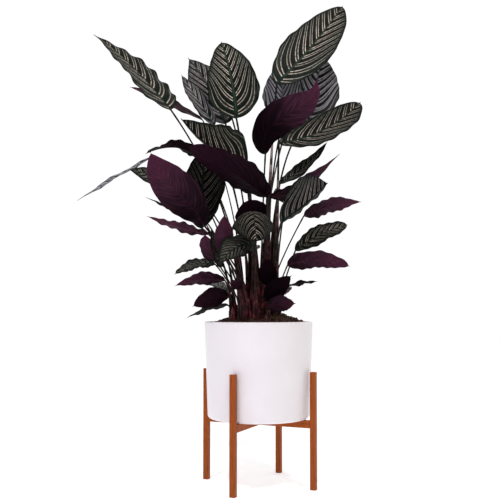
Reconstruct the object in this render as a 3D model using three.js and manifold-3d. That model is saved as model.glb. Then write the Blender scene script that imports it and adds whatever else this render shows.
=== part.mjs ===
// Potted pinstripe calathea in a four-legged wooden plant stand.
// Millimetres, +Z up. The middle of the stand is at x = 0, y = 0 while the pieces are made. At the end
// the whole group moves so that its origin is the middle of its outer box, on the floor.

import * as THREE from "three";
import { mergeVertices } from "three/addons/utils/BufferGeometryUtils.js";
import Module from "manifold-3d";

const wasm = await Module();
wasm.setup();

// Clearance between pieces that touch
const GAP = 0.3;

// Stand: four square legs round the pot and two bars that cross under it
const LEG_SIDE = 16;
const LEG_HEIGHT = 314;
const LEG_EDGE = 1.2;
const LEG_INNER = 150.5;
const RIGHT_LEG_OUT = 5;
const BAR_THICK = 16;
const BAR_HEIGHT = 20;
const BAR_TOP = 183.7;
const TENON_LENGTH = 8;
const TENON_THICK = 8;
const TENON_HEIGHT = 13;
const STAND_TURN = 24;

// Pot: a plain cylinder that widens a little towards its rim
const POT_BOTTOM = BAR_TOP + GAP;
const POT_HEIGHT = 265;
const POT_TOP = POT_BOTTOM + POT_HEIGHT;
const POT_RIM_RADIUS = 150;
const POT_BASE_RADIUS = 141;
const POT_FOOT_ROUND = 9;
const POT_WALL = 8;
const POT_FLOOR = 12;
const POT_SIDES = 36;
const POT_OFF_CENTRE = 3;

// Soil: a mound that is highest behind the stalks, to the right
const SOIL_EDGE_DROP = 8;
const SOIL_RISE = 31;
const SOIL_SIDES = 24;
const SOIL_RINGS = [32, 62, 90, 114, 131];
const SOIL_LUMP = 1.6;
const SOIL_DOME_POWER = 1.2;
const SOIL_LEAN_RIGHT = 0.3;
const SOIL_LEAN_BACK = 0.6;

// Leaves: blade thickness, the mesh of a blade and of its stalk
const BLADE_THICK = 1.2;
const BLADE_COLUMNS = 4;
const BLADE_ROWS = 8;
const SMALL_BLADE_ROWS = 6;
const SMALL_BLADE_WIDTH = 75;
const BASE_ROUND = 0.5;
const SWAY_SCALE = 10.4;
const BASE_HALF_WIDTH = 2.5;
const TIP_HALF_WIDTH = 0.9;
const WAVES = 2;
const WAVE_PHASE_RIGHT = 0.6;
const WAVE_PHASE_LEFT = 2.1;
const STALK_SIDES = 5;
const STALK_STEPS = 4;
const STALK_DEPTH = 44;
const STALK_START = 476;
const SHEATH_SHARE = 0.35;
const FOOT_RADIUS = 4.4;
const FOOT_RADIUS_PER_WIDTH = 0.014;
const TOP_RADIUS = 1.6;
const TOP_RADIUS_PER_WIDTH = 0.00625;
const KEEL_RADIUS = 0.9;
const KEEL_REACH = 0.04;
const HOLE_BOTTOM = STALK_START - STALK_DEPTH - GAP;
const HOLE_TOP = STALK_START + 20;

const POT_COLOUR = "#e9e8e6";
const POT_ROUGHNESS = 0.4;
const WOOD_COLOUR = "#a85a2c";
const WOOD_ROUGHNESS = 0.6;
const SOIL_COLOUR = "#2a1c16";
const SOIL_ROUGHNESS = 0.95;
const GREEN_COLOUR = "#2f3a31";
const PURPLE_COLOUR = "#4d2438";
const LEAF_ROUGHNESS = 0.5;

// One row for each leaf, in mm and degrees. foot: where the stalk stands in the soil (x, y). base and
// tip: the two ends of the blade. face: where the striped upper side looks. bow: how far the middle of
// the midrib stands off the straight line. sway: how far it swings off in the first half and back in
// the second. fold: how far each half rises from flat beside the midrib. curl: how much further it
// bends up to its edge. twist: how far the blade turns about the midrib. wave: height of the waves
// along the edge. widest: where the blade is widest, from its base. taper: how its tip narrows, blunt
// below 1 and slender above. rise: share of the stalk's height that goes straight up. side: the side
// that shows in front, striped or purple.
const LEAF_DEFAULTS = {
  "sway": [0, 0, 0],
  "fold": 12, "curl": -12, "twist": 0, "wave": 3, "widest": 0.44, "taper": 0.75, "rise": 0.5,
  "side": "striped"
};
const LEAVES = [
  { "name": "leaf_01", "foot": [-49, 29], "base": [-251, 60, 1062], "tip": [-477, 80, 1288],
    "width": 135, "face": [5, -5.5, 6], "bow": [8, 0, 8], "sway": [0, 0, -2], "widest": 0.27,
    "taper": 1.0 },
  { "name": "leaf_02", "foot": [-41, 46], "base": [-161, 110, 1044], "tip": [-382, 150, 1155],
    "width": 45, "face": [3, 3, 9], "bow": [0, 0, 8], "side": "purple" },
  { "name": "leaf_03", "foot": [-15, 29], "base": [-93, 95, 1030], "tip": [-206, 150, 1242],
    "width": 142, "face": [0, -8, 4], "bow": [13, 10, 0], "widest": 0.48, "taper": 0.95 },
  { "name": "leaf_04", "foot": [-24, 12], "base": [-124, 40, 1012], "tip": [-219, 60, 1161],
    "width": 60, "face": [6, -8, 1], "bow": [0, 0, 0] },
  { "name": "leaf_05", "foot": [-7, 12], "base": [-60, 20, 1027], "tip": [-104, 60, 1259],
    "width": 150, "face": [0, -10, 1], "bow": [8, -8, 0], "widest": 0.34, "taper": 0.64 },
  { "name": "leaf_06", "foot": [-7, -22], "base": [-27, -45, 884], "tip": [-205, -85, 995],
    "width": 174, "face": [3.6, -7, 6], "bow": [-8, 0, -22], "fold": 44, "widest": 0.28 },
  { "name": "leaf_07", "foot": [19, -39], "base": [25, -85, 785], "tip": [-178, -160, 905],
    "width": 158, "face": [3, 3, 8], "bow": [14, 0, -3], "widest": 0.5, "taper": 0.55,
    "side": "purple" },
  { "name": "leaf_08", "foot": [-41, 12], "base": [-163, 25, 917], "tip": [-317, 45, 932],
    "width": 114, "face": [0, 0, 10], "bow": [5, 0, 22], "twist": -60, "widest": 0.6, "taper": 0.45 },
  { "name": "leaf_09", "foot": [-75, 12], "base": [-308, 80, 928], "tip": [-523, 90, 804],
    "width": 42, "face": [-3, -4.5, 8], "bow": [-2, 0, 0] },
  { "name": "leaf_10", "foot": [-32, -5], "base": [-170, 15, 812], "tip": [-365, 40, 884],
    "width": 72, "face": [-2, -7, 5], "bow": [0, 0, 5] },
  { "name": "leaf_11", "foot": [-32, -39], "base": [-146, -70, 711], "tip": [-285, -110, 897],
    "width": 114, "face": [2, 8, 2], "bow": [-3, -12, -5], "sway": [5, 0, 5], "widest": 0.5,
    "taper": 0.7, "rise": 0.4, "side": "purple" },
  { "name": "leaf_12", "foot": [-24, -22], "base": [-156, -5, 710], "tip": [-160, -10, 932],
    "width": 126, "face": [5, -9, 1], "bow": [2, 0, 0], "sway": [-6, 0, 0], "fold": 22, "widest": 0.55 },
  { "name": "leaf_13", "foot": [-49, -5], "base": [-135, -51, 715], "tip": [-303, -47, 788],
    "width": 32, "face": [2, -4, 9], "bow": [0, 0, 0] },
  { "name": "leaf_14", "foot": [-41, -56], "base": [-129, -90, 683], "tip": [-287, -140, 725],
    "width": 41, "face": [1, 5, 8], "bow": [0, 0, -4], "taper": 1.0, "rise": 0.4, "side": "purple" },
  { "name": "leaf_15", "foot": [-41, -22], "base": [-107, -60, 617], "tip": [-143, -55, 685],
    "width": 54, "face": [4, 8, 2], "bow": [-12, 0, 0], "rise": 0.4, "side": "purple" },
  { "name": "leaf_16", "foot": [-49, -39], "base": [-99, -85, 594], "tip": [-124, -115, 695],
    "width": 45, "face": [8, -6, 0], "bow": [0, 0, 0], "rise": 0.35 },
  { "name": "leaf_17", "foot": [-24, -56], "base": [-88, -95, 620], "tip": [-89, -130, 728],
    "width": 60, "face": [-5, 8, 3], "bow": [0, 0, 0], "side": "purple" },
  { "name": "leaf_18", "foot": [-15, -39], "base": [-5, -55, 710], "tip": [-40, -75, 770],
    "width": 96, "face": [0, 6, 6], "bow": [0, 0, 8], "side": "purple" },
  { "name": "leaf_19", "foot": [2, -39], "base": [-22, -85, 715], "tip": [-5, -225, 655],
    "width": 148, "face": [0, -4, 9], "bow": [0, 0, 50], "fold": 0, "curl": -75, "widest": 0.5,
    "taper": 0.5 },
  { "name": "leaf_20", "foot": [-7, -56], "base": [-5, -100, 649], "tip": [-98, -170, 602],
    "width": 95, "face": [-2, -8, 6], "bow": [0, 0, 20] },
  { "name": "leaf_21", "foot": [-60, 8], "base": [-118, -15, 608], "tip": [-226, -25, 582],
    "width": 48, "face": [-1, -6, 7], "bow": [0, 0, 12], "taper": 0.5 },
  { "name": "leaf_22", "foot": [-66, -7], "base": [-90, -35, 562], "tip": [-221, -70, 547],
    "width": 52, "face": [0, 6, 7], "bow": [0, 0, 10], "taper": 1.0, "rise": 0.4, "side": "purple" },
  { "name": "leaf_23", "foot": [-66, -39], "base": [-78, -85, 516], "tip": [-169, -120, 492],
    "width": 58, "face": [0, 8, 4], "bow": [0, 0, 8], "side": "purple" },
  { "name": "leaf_24", "foot": [-75, -22], "base": [-80, -30, 494], "tip": [-192, -20, 461],
    "width": 45, "face": [0, -3, 9], "bow": [0, 0, 5] },
  { "name": "leaf_25", "foot": [27, 12], "base": [56, 40, 1132], "tip": [254, 110, 1386],
    "width": 155, "face": [-1, -8, 4], "bow": [4, 0, -6], "taper": 0.6 },
  { "name": "leaf_26", "foot": [36, 29], "base": [153, 130, 1044], "tip": [200, 170, 1258],
    "width": 150, "face": [1, -8, 3], "bow": [0, 0, 0], "rise": 0.8 },
  { "name": "leaf_27", "foot": [10, -22], "base": [21, -60, 907], "tip": [156, -110, 1096],
    "width": 96, "face": [-1, 8, 3], "bow": [-9, 0, 9], "sway": [-20, 0, 12], "widest": 0.42,
    "taper": 1.0, "side": "purple" },
  { "name": "leaf_28", "foot": [53, -5], "base": [61, 10, 953], "tip": [293, 30, 1073],
    "width": 132, "face": [-1, -7, 7], "bow": [8, 0, -22], "widest": 0.56, "taper": 0.5 },
  { "name": "leaf_29", "foot": [44, 12], "base": [63, 20, 839], "tip": [200, 40, 962],
    "width": 58, "face": [-3, -6, 7], "bow": [6, 0, -8], "widest": 0.28, "taper": 0.9 },
  { "name": "leaf_30", "foot": [19, -5], "base": [34, -30, 797], "tip": [226, -10, 914],
    "width": 56, "face": [-3, 5, 7], "bow": [0, 0, -25], "sway": [0, 0, -4], "widest": 0.38,
    "taper": 1.25, "side": "purple" },
  { "name": "leaf_31", "foot": [36, -5], "base": [64, -40, 720], "tip": [186, -90, 820],
    "width": 150, "face": [-5.8, -6.2, 5.3], "bow": [8, 0, -2], "fold": 38, "widest": 0.66,
    "taper": 0.4 },
  { "name": "leaf_32", "foot": [27, -22], "base": [132, 20, 748], "tip": [294, 40, 790],
    "width": 57, "face": [-1, 6, 6], "bow": [0, 0, 8], "wave": 4, "widest": 0.38, "taper": 0.9,
    "rise": 0.3, "side": "purple" },
  { "name": "leaf_33", "foot": [61, 12], "base": [108, 30, 650], "tip": [254, 30, 722],
    "width": 66, "face": [-2, -7, 5], "bow": [0, 0, 10], "widest": 0.44, "taper": 0.45, "rise": 0.3 },
  { "name": "leaf_34", "foot": [44, -22], "base": [82, -35, 604], "tip": [243, -80, 600],
    "width": 58, "face": [0, 7, 5], "bow": [0, 0, 15], "widest": 0.3, "taper": 0.48, "rise": 0.3,
    "side": "purple" },
  { "name": "leaf_35", "foot": [61, -22], "base": [89, 10, 548], "tip": [165, 20, 561],
    "width": 30, "face": [0, -4, 9], "bow": [0, 0, 2] },
  { "name": "leaf_36", "foot": [27, -56], "base": [30, -72, 545], "tip": [22, -85, 617],
    "width": 50, "face": [0, 8, 3], "bow": [0, 0, 0], "side": "purple" },
  { "name": "leaf_37", "foot": [19, -73], "base": [25, -112, 486], "tip": [94, -145, 498],
    "width": 48, "face": [0, 8, 3], "bow": [0, 0, 5], "side": "purple" },
  { "name": "leaf_38", "foot": [-32, -72], "base": [-48, -85, 535], "tip": [-69, -110, 560],
    "width": 30, "face": [0, 5, 5], "bow": [0, 0, 0], "side": "purple" },
  { "name": "leaf_39", "foot": [27, 46], "base": [80, 100, 1046], "tip": [70, 130, 1222],
    "width": 120, "face": [0, -8, 2], "bow": [0, 0, 0], "widest": 0.36, "taper": 0.85, "rise": 0.7 },
  { "name": "leaf_40", "foot": [2, -73], "base": [17, -92, 508], "tip": [85, -125, 569],
    "width": 51, "face": [3, 8, 3], "bow": [0, 0, 0], "side": "purple" },
  { "name": "leaf_41", "foot": [-24, 46], "base": [-90, 140, 910], "tip": [-150, 320, 960],
    "width": 130, "face": [0, -1, 9], "bow": [0, 0, 25] },
  { "name": "leaf_42", "foot": [10, 46], "base": [80, 150, 1000], "tip": [120, 320, 1075],
    "width": 130, "face": [0, -1, 9], "bow": [0, 0, 30] },
  { "name": "leaf_43", "foot": [53, 29], "base": [85, 130, 800], "tip": [140, 290, 850],
    "width": 110, "face": [0, 0, 9], "bow": [0, 0, 25] },
  { "name": "leaf_44", "foot": [-66, 29], "base": [-150, 130, 790], "tip": [-310, 270, 860],
    "width": 120, "face": [0, 0, 9], "bow": [0, 0, 25] },
  { "name": "leaf_45", "foot": [-7, 46], "base": [-25, 130, 650], "tip": [-60, 280, 660],
    "width": 100, "face": [0, 0, 9], "bow": [0, 0, 20] },
  { "name": "leaf_46", "foot": [44, 46], "base": [45, 120, 520], "tip": [90, 260, 530],
    "width": 80, "face": [0, 0, 9], "bow": [0, 0, 20] },
  { "name": "leaf_47", "foot": [2, 29], "base": [-75, 150, 1060], "tip": [-130, 260, 1180],
    "width": 110, "face": [0, -5, 8], "bow": [0, 0, 10] },
  { "name": "leaf_48", "foot": [-58, 46], "base": [-80, 70, 530], "tip": [-190, 190, 560],
    "width": 80, "face": [0, 0, 9], "bow": [0, 0, 15] },
];

// Turns a three.js geometry into a solid that can be joined and cut
function solidOf(geometry) {
  const bare = geometry.clone();
  bare.deleteAttribute("normal");
  bare.deleteAttribute("uv");
  const merged = mergeVertices(bare, 1e-4);
  return new wasm.Manifold(new wasm.Mesh({
    numProp: 3,
    vertProperties: new Float32Array(merged.attributes.position.array),
    triVerts: new Uint32Array(merged.index.array),
  }));
}

function geometryOf(solid) {
  const mesh = solid.getMesh();
  const geometry = new THREE.BufferGeometry();
  geometry.setAttribute("position", new THREE.BufferAttribute(mesh.vertProperties, 3));
  geometry.setIndex(new THREE.BufferAttribute(mesh.triVerts, 1));
  geometry.computeVertexNormals();
  return geometry;
}

function indexedGeometry(points, triangles) {
  const geometry = new THREE.BufferGeometry();
  const numbers = points.flatMap((p) => [p.x, p.y, p.z]);
  geometry.setAttribute("position", new THREE.Float32BufferAttribute(numbers, 3));
  geometry.setIndex(triangles.flat());
  geometry.computeVertexNormals();
  return geometry;
}

function box(width, depth, height, x, y, z) {
  return new THREE.BoxGeometry(width, depth, height).translate(x, y, z);
}

function namedMesh(name, geometry, colour, roughness) {
  const material = new THREE.MeshStandardMaterial({ color: colour, roughness, metalness: 0 });
  const mesh = new THREE.Mesh(geometry, material);
  mesh.name = name;
  return mesh;
}

// Seeded draw between 0 and 1, so that every run gives the same lumps
function seededDraw(seed) {
  let state = seed;
  return () => {
    state = (state * 1664525 + 1013904223) % 4294967296;
    return state / 4294967296;
  };
}

// A leg stands on its square foot, with its edges eased and a mortise for the bar on its inner face.
// It is made on the +X side of the axis.
function legGeometry() {
  const half = LEG_SIDE / 2 - LEG_EDGE;
  const outline = new THREE.Shape();
  outline.moveTo(-half, -LEG_SIDE / 2);
  outline.lineTo(half, -LEG_SIDE / 2);
  outline.lineTo(LEG_SIDE / 2, -half);
  outline.lineTo(LEG_SIDE / 2, half);
  outline.lineTo(half, LEG_SIDE / 2);
  outline.lineTo(-half, LEG_SIDE / 2);
  outline.lineTo(-LEG_SIDE / 2, half);
  outline.lineTo(-LEG_SIDE / 2, -half);
  outline.closePath();
  const post = new THREE.ExtrudeGeometry(outline, { depth: LEG_HEIGHT, bevelEnabled: false });
  post.translate(LEG_INNER + LEG_SIDE / 2, 0, 0);
  const depth = TENON_LENGTH + GAP;
  const mortise = box(
    depth * 2, TENON_THICK + 2 * GAP, TENON_HEIGHT + 2 * GAP,
    LEG_INNER, 0, BAR_TOP - BAR_HEIGHT / 2,
  );
  return geometryOf(solidOf(post).subtract(solidOf(mortise)));
}

// A bar runs from leg to leg with a stub tenon at each end, and its +X end may reach further out.
// The two bars cross in a half lap: one is cut from above and the other from below.
function barGeometry(cutFromAbove, further) {
  const middle = BAR_TOP - BAR_HEIGHT / 2;
  const length = 2 * (LEG_INNER - GAP) + further;
  const rail = solidOf(box(length, BAR_THICK, BAR_HEIGHT, further / 2, 0, middle));
  const reach = 2 * (LEG_INNER + TENON_LENGTH - GAP) + further;
  const tenons = solidOf(box(reach, TENON_THICK, TENON_HEIGHT, further / 2, 0, middle));
  const side = cutFromAbove ? 1 : -1;
  const lap = box(
    BAR_THICK + 2 * GAP, BAR_THICK * 2, BAR_HEIGHT,
    0, 0, middle + side * (BAR_HEIGHT / 2 - GAP / 2),
  );
  return geometryOf(rail.add(tenons).subtract(solidOf(lap)));
}

function standMeshes() {
  const stand = new THREE.Group();
  stand.rotation.z = THREE.MathUtils.degToRad(-STAND_TURN);
  const legNames = ["stand_leg_right", "stand_leg_back", "stand_leg_left", "stand_leg_front"];
  legNames.forEach((name, quarter) => {
    const leg = namedMesh(name, legGeometry(), WOOD_COLOUR, WOOD_ROUGHNESS);
    leg.rotation.z = (quarter * Math.PI) / 2;
    if (name === "stand_leg_right") leg.position.x = RIGHT_LEG_OUT;
    stand.add(leg);
  });
  const lower = namedMesh("stand_bar_across", barGeometry(true, RIGHT_LEG_OUT), WOOD_COLOUR, WOOD_ROUGHNESS);
  const upper = namedMesh("stand_bar_front_back", barGeometry(false, 0), WOOD_COLOUR, WOOD_ROUGHNESS);
  upper.rotation.z = Math.PI / 2;
  stand.add(lower, upper);
  return stand;
}

// Radius of the pot's outer face at a height above its bottom
function potRadius(height) {
  return THREE.MathUtils.lerp(POT_BASE_RADIUS, POT_RIM_RADIUS, height / POT_HEIGHT);
}

// The pot is turned from its section: rounded foot, slanted wall, rounded lip, inner wall and floor
function potGeometry() {
  const profile = [new THREE.Vector2(0, 0)];
  const footCentre = potRadius(POT_FOOT_ROUND) - POT_FOOT_ROUND;
  for (const degrees of [-90, -60, -30, 0]) {
    const angle = THREE.MathUtils.degToRad(degrees);
    const out = footCentre + POT_FOOT_ROUND * Math.cos(angle);
    profile.push(new THREE.Vector2(out, POT_FOOT_ROUND * (1 + Math.sin(angle))));
  }
  const lip = POT_WALL / 2;
  for (const degrees of [0, 45, 90, 135, 180]) {
    const angle = THREE.MathUtils.degToRad(degrees);
    const out = POT_RIM_RADIUS - lip + lip * Math.cos(angle);
    profile.push(new THREE.Vector2(out, POT_HEIGHT - lip + lip * Math.sin(angle)));
  }
  profile.push(new THREE.Vector2(potRadius(POT_FLOOR) - POT_WALL, POT_FLOOR));
  profile.push(new THREE.Vector2(0, POT_FLOOR));
  const pot = new THREE.LatheGeometry(profile, POT_SIDES);
  return geometryOf(solidOf(pot.rotateX(Math.PI / 2).translate(POT_OFF_CENTRE, 0, POT_BOTTOM)));
}

// Height of the soil at a place about the pot's axis: a low dome, higher to the right and the back
function soilHeight(x, y) {
  const reach = POT_RIM_RADIUS - POT_WALL;
  const dome = Math.max(0, 1 - (Math.hypot(x, y) / reach) ** 2) ** SOIL_DOME_POWER;
  const lean = 1 + (SOIL_LEAN_RIGHT * x + SOIL_LEAN_BACK * y) / reach;
  return POT_TOP - SOIL_EDGE_DROP + SOIL_RISE * dome * lean;
}

// The soil fills the pot. Its top is a dome of rings with small lumps, and each stalk stands in a
// plain five-sided hole.
function soilGeometry() {
  const draw = seededDraw(7);
  const bottom = POT_BOTTOM + POT_FLOOR + GAP;
  const bottomRadius = potRadius(POT_FLOOR) - POT_WALL - 2 * GAP;
  const edgeZ = POT_TOP - SOIL_EDGE_DROP;
  const edgeRadius = potRadius(POT_HEIGHT - SOIL_EDGE_DROP) - POT_WALL - 2 * GAP;
  const points = [];
  const triangles = [];
  const addRing = (radius, height) => {
    const first = points.length;
    for (let i = 0; i < SOIL_SIDES; i += 1) {
      const angle = (2 * Math.PI * i) / SOIL_SIDES;
      const x = radius * Math.cos(angle);
      const y = radius * Math.sin(angle);
      points.push(new THREE.Vector3(x, y, height(x, y)));
    }
    return first;
  };
  const bottomMiddle = points.push(new THREE.Vector3(0, 0, bottom)) - 1;
  const rings = [addRing(bottomRadius, () => bottom), addRing(edgeRadius, () => edgeZ)];
  for (const radius of [...SOIL_RINGS].reverse()) {
    rings.push(addRing(radius, (x, y) => soilHeight(x, y) + SOIL_LUMP * (2 * draw() - 1)));
  }
  const topMiddle = points.push(new THREE.Vector3(0, 0, soilHeight(0, 0))) - 1;
  for (let i = 0; i < SOIL_SIDES; i += 1) {
    const next = (i + 1) % SOIL_SIDES;
    triangles.push([bottomMiddle, rings[0] + next, rings[0] + i]);
    for (let k = 0; k + 1 < rings.length; k += 1) {
      triangles.push([rings[k] + i, rings[k] + next, rings[k + 1] + next]);
      triangles.push([rings[k] + i, rings[k + 1] + next, rings[k + 1] + i]);
    }
    const last = rings[rings.length - 1];
    triangles.push([last + i, last + next, topMiddle]);
  }
  const filling = indexedGeometry(points, triangles).translate(POT_OFF_CENTRE, 0, 0);
  let soil = solidOf(filling);
  for (const leaf of LEAVES) {
    const [x, y] = leaf.foot;
    const radius = footRadius(leaf) + 2 * GAP;
    const hole = new THREE.CylinderGeometry(radius, radius, HOLE_TOP - HOLE_BOTTOM, STALK_SIDES);
    hole.rotateX(Math.PI / 2).rotateZ(Math.PI / 2);
    hole.translate(x, y, (HOLE_BOTTOM + HOLE_TOP) / 2);
    soil = soil.subtract(solidOf(hole));
  }
  return geometryOf(soil);
}

// Radius of a stalk in the soil, where the leaf's sheath wraps it, and at the top below the blade
function footRadius(leaf) {
  return FOOT_RADIUS + FOOT_RADIUS_PER_WIDTH * leaf.width;
}

function topRadius(leaf) {
  return TOP_RADIUS + TOP_RADIUS_PER_WIDTH * leaf.width;
}

// Half-width of a blade as a share of its widest. u runs from 0 at the stalk to 1 at the drip tip:
// the base is round and the tip tapers.
function outlineShare(leaf, u) {
  if (u < leaf.widest) {
    return Math.cos((Math.PI / 2) * (1 - u / leaf.widest)) ** BASE_ROUND;
  }
  return Math.cos((Math.PI / 2) * ((u - leaf.widest) / (1 - leaf.widest))) ** leaf.taper;
}

function halfWidth(leaf, u) {
  const least = THREE.MathUtils.lerp(BASE_HALF_WIDTH, TIP_HALF_WIDTH, u);
  return Math.max(least, (leaf.width / 2) * outlineShare(leaf, u));
}

// Midrib: the straight line from base to tip, bowed most at its middle, with a sway that goes one way
// in the first half and the other way in the second
function midrib(leaf, u) {
  const base = new THREE.Vector3(...leaf.base);
  const tip = new THREE.Vector3(...leaf.tip);
  return base.lerp(tip, u)
    .addScaledVector(new THREE.Vector3(...leaf.bow), 4 * u * (1 - u))
    .addScaledVector(new THREE.Vector3(...leaf.sway), SWAY_SCALE * u * (1 - u) * (1 - 2 * u));
}

// Frame at a point of the midrib: along it, across the blade and out of the upper side
function bladeFrame(leaf, u) {
  const chord = new THREE.Vector3(...leaf.tip).sub(new THREE.Vector3(...leaf.base));
  const along = chord
    .addScaledVector(new THREE.Vector3(...leaf.bow), 4 * (1 - 2 * u))
    .addScaledVector(new THREE.Vector3(...leaf.sway), SWAY_SCALE * (1 - 6 * u + 6 * u * u))
    .normalize();
  const up = new THREE.Vector3(...leaf.face);
  up.addScaledVector(along, -up.dot(along)).normalize();
  up.applyAxisAngle(along, THREE.MathUtils.degToRad(leaf.twist) * (u - 0.5));
  const across = new THREE.Vector3().crossVectors(along, up);
  return { along, across, up };
}

// Point of the blade's middle surface. s runs from -1 to 1 across it. Each half leaves the midrib at
// the fold angle and bends on evenly by the curl angle, and its edge waves.
function bladePoint(leaf, u, s) {
  const { across, up } = bladeFrame(leaf, u);
  const fold = THREE.MathUtils.degToRad(leaf.fold);
  const curl = THREE.MathUtils.degToRad(leaf.curl) || 1e-6;
  const reach = Math.abs(s);
  const out = (Math.sin(fold + curl * reach) - Math.sin(fold)) / curl;
  const lift = (Math.cos(fold) - Math.cos(fold + curl * reach)) / curl;
  const half = halfWidth(leaf, u);
  const phase = s > 0 ? WAVE_PHASE_RIGHT : WAVE_PHASE_LEFT;
  const turn = 2 * Math.PI * WAVES * u + phase;
  const wave = leaf.wave * reach ** 2 * outlineShare(leaf, u) * Math.sin(turn);
  return midrib(leaf, u)
    .addScaledVector(across, Math.sign(s) * half * out)
    .addScaledVector(up, half * lift + wave);
}

// The blade is a grid of its middle surface, thickened to both sides along the surface normal
function bladeGeometry(leaf) {
  const rows = leaf.width < SMALL_BLADE_WIDTH ? SMALL_BLADE_ROWS : BLADE_ROWS;
  const columns = BLADE_COLUMNS;
  const middle = [];
  for (let i = 0; i <= rows; i += 1) {
    const u = (1 - Math.cos((Math.PI * i) / rows)) / 2;
    for (let j = 0; j <= columns; j += 1) {
      middle.push(bladePoint(leaf, u, (2 * j) / columns - 1));
    }
  }
  const at = (i, j) => middle[i * (columns + 1) + j];
  const upper = [];
  const lower = [];
  for (let i = 0; i <= rows; i += 1) {
    for (let j = 0; j <= columns; j += 1) {
      const along = at(Math.min(i + 1, rows), j).clone().sub(at(Math.max(i - 1, 0), j));
      const across = at(i, Math.min(j + 1, columns)).clone().sub(at(i, Math.max(j - 1, 0)));
      const normal = across.cross(along).normalize();
      upper.push(at(i, j).clone().addScaledVector(normal, BLADE_THICK / 2));
      lower.push(at(i, j).clone().addScaledVector(normal, -BLADE_THICK / 2));
    }
  }
  const count = upper.length;
  const triangles = [];
  const number = (i, j) => i * (columns + 1) + j;
  const wall = (a, b) => {
    triangles.push([a, b + count, b]);
    triangles.push([a, a + count, b + count]);
  };
  for (let i = 0; i < rows; i += 1) {
    for (let j = 0; j < columns; j += 1) {
      const [a, b] = [number(i, j), number(i, j + 1)];
      const [c, d] = [number(i + 1, j + 1), number(i + 1, j)];
      triangles.push([a, b, c], [a, c, d]);
      triangles.push([a + count, c + count, b + count], [a + count, d + count, c + count]);
    }
    wall(number(i, columns), number(i + 1, columns));
    wall(number(i + 1, 0), number(i, 0));
  }
  for (let j = 0; j < columns; j += 1) {
    wall(number(0, j), number(0, j + 1));
    wall(number(rows, j + 1), number(rows, j));
  }
  return indexedGeometry([...upper, ...lower], triangles);
}

// Middle line of the stalk: straight up out of the soil, in one arc to the blade, and a short way on
// along the midrib as its keel
function stalkPath(leaf) {
  const [x, y] = leaf.foot;
  const start = new THREE.Vector3(x, y, STALK_START);
  const base = new THREE.Vector3(...leaf.base);
  const straight = start.clone().setZ(STALK_START + leaf.rise * (base.z - STALK_START));
  const arc = new THREE.QuadraticBezierCurve3(start, straight, base);
  const path = [start.clone().setZ(STALK_START - STALK_DEPTH), ...arc.getPoints(STALK_STEPS)];
  return [...path, midrib(leaf, KEEL_REACH)];
}

// The stalk is a five-sided tube along its path. The sheath is thick at the foot and thins upwards.
function stalkGeometry(leaf) {
  const path = stalkPath(leaf);
  const points = [];
  const triangles = [];
  const side = new THREE.Vector3(1, 0, 0);
  path.forEach((centre, k) => {
    const ahead = path[Math.min(k + 1, path.length - 1)];
    const behind = path[Math.max(k - 1, 0)];
    const along = ahead.clone().sub(behind).normalize();
    if (k < 2) {
      along.set(0, 0, 1);
    }
    side.addScaledVector(along, -side.dot(along)).normalize();
    const other = new THREE.Vector3().crossVectors(along, side);
    const share = THREE.MathUtils.clamp((k - 1) / STALK_STEPS, 0, 1);
    const sheath = Math.max(0, 1 - share / SHEATH_SHARE);
    let radius = THREE.MathUtils.lerp(topRadius(leaf), footRadius(leaf), sheath);
    if (k === path.length - 1) {
      radius = KEEL_RADIUS;
    }
    for (let i = 0; i < STALK_SIDES; i += 1) {
      const angle = (2 * Math.PI * i) / STALK_SIDES;
      points.push(centre.clone()
        .addScaledVector(side, radius * Math.cos(angle))
        .addScaledVector(other, radius * Math.sin(angle)));
    }
  });
  const last = (path.length - 1) * STALK_SIDES;
  for (let i = 0; i < STALK_SIDES; i += 1) {
    const next = (i + 1) % STALK_SIDES;
    for (let k = 0; k < last; k += STALK_SIDES) {
      triangles.push([k + i, k + next, k + STALK_SIDES + next]);
      triangles.push([k + i, k + STALK_SIDES + next, k + STALK_SIDES + i]);
    }
    if (i > 0 && i < STALK_SIDES - 1) {
      triangles.push([0, i + 1, i], [last, last + i, last + i + 1]);
    }
  }
  return indexedGeometry(points, triangles);
}

function leafMesh(row) {
  const leaf = { ...LEAF_DEFAULTS, ...row };
  const solid = solidOf(bladeGeometry(leaf)).add(solidOf(stalkGeometry(leaf)));
  const colour = leaf.side === "striped" ? GREEN_COLOUR : PURPLE_COLOUR;
  return namedMesh(leaf.name, geometryOf(solid), colour, LEAF_ROUGHNESS);
}

const group = new THREE.Group();
group.add(standMeshes());
group.add(namedMesh("pot", potGeometry(), POT_COLOUR, POT_ROUGHNESS));
group.add(namedMesh("soil", soilGeometry(), SOIL_COLOUR, SOIL_ROUGHNESS));
for (const row of LEAVES) {
  group.add(leafMesh(row));
}

const outerBox = new THREE.Box3().setFromObject(group, true);
const centre = outerBox.getCenter(new THREE.Vector3());
group.position.set(-centre.x, -centre.y, -outerBox.min.z);

export default group;
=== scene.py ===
"""Potted pinstripe calathea in a wooden plant stand: grown leaves, glazed pot, potting mix and oiled wood.

Metres, +Z up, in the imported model's frame. Values that end in _MM are millimetres, and the leaf table
is in millimetres about the middle of the stand at floor height.
"""

import functools
import math

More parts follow.
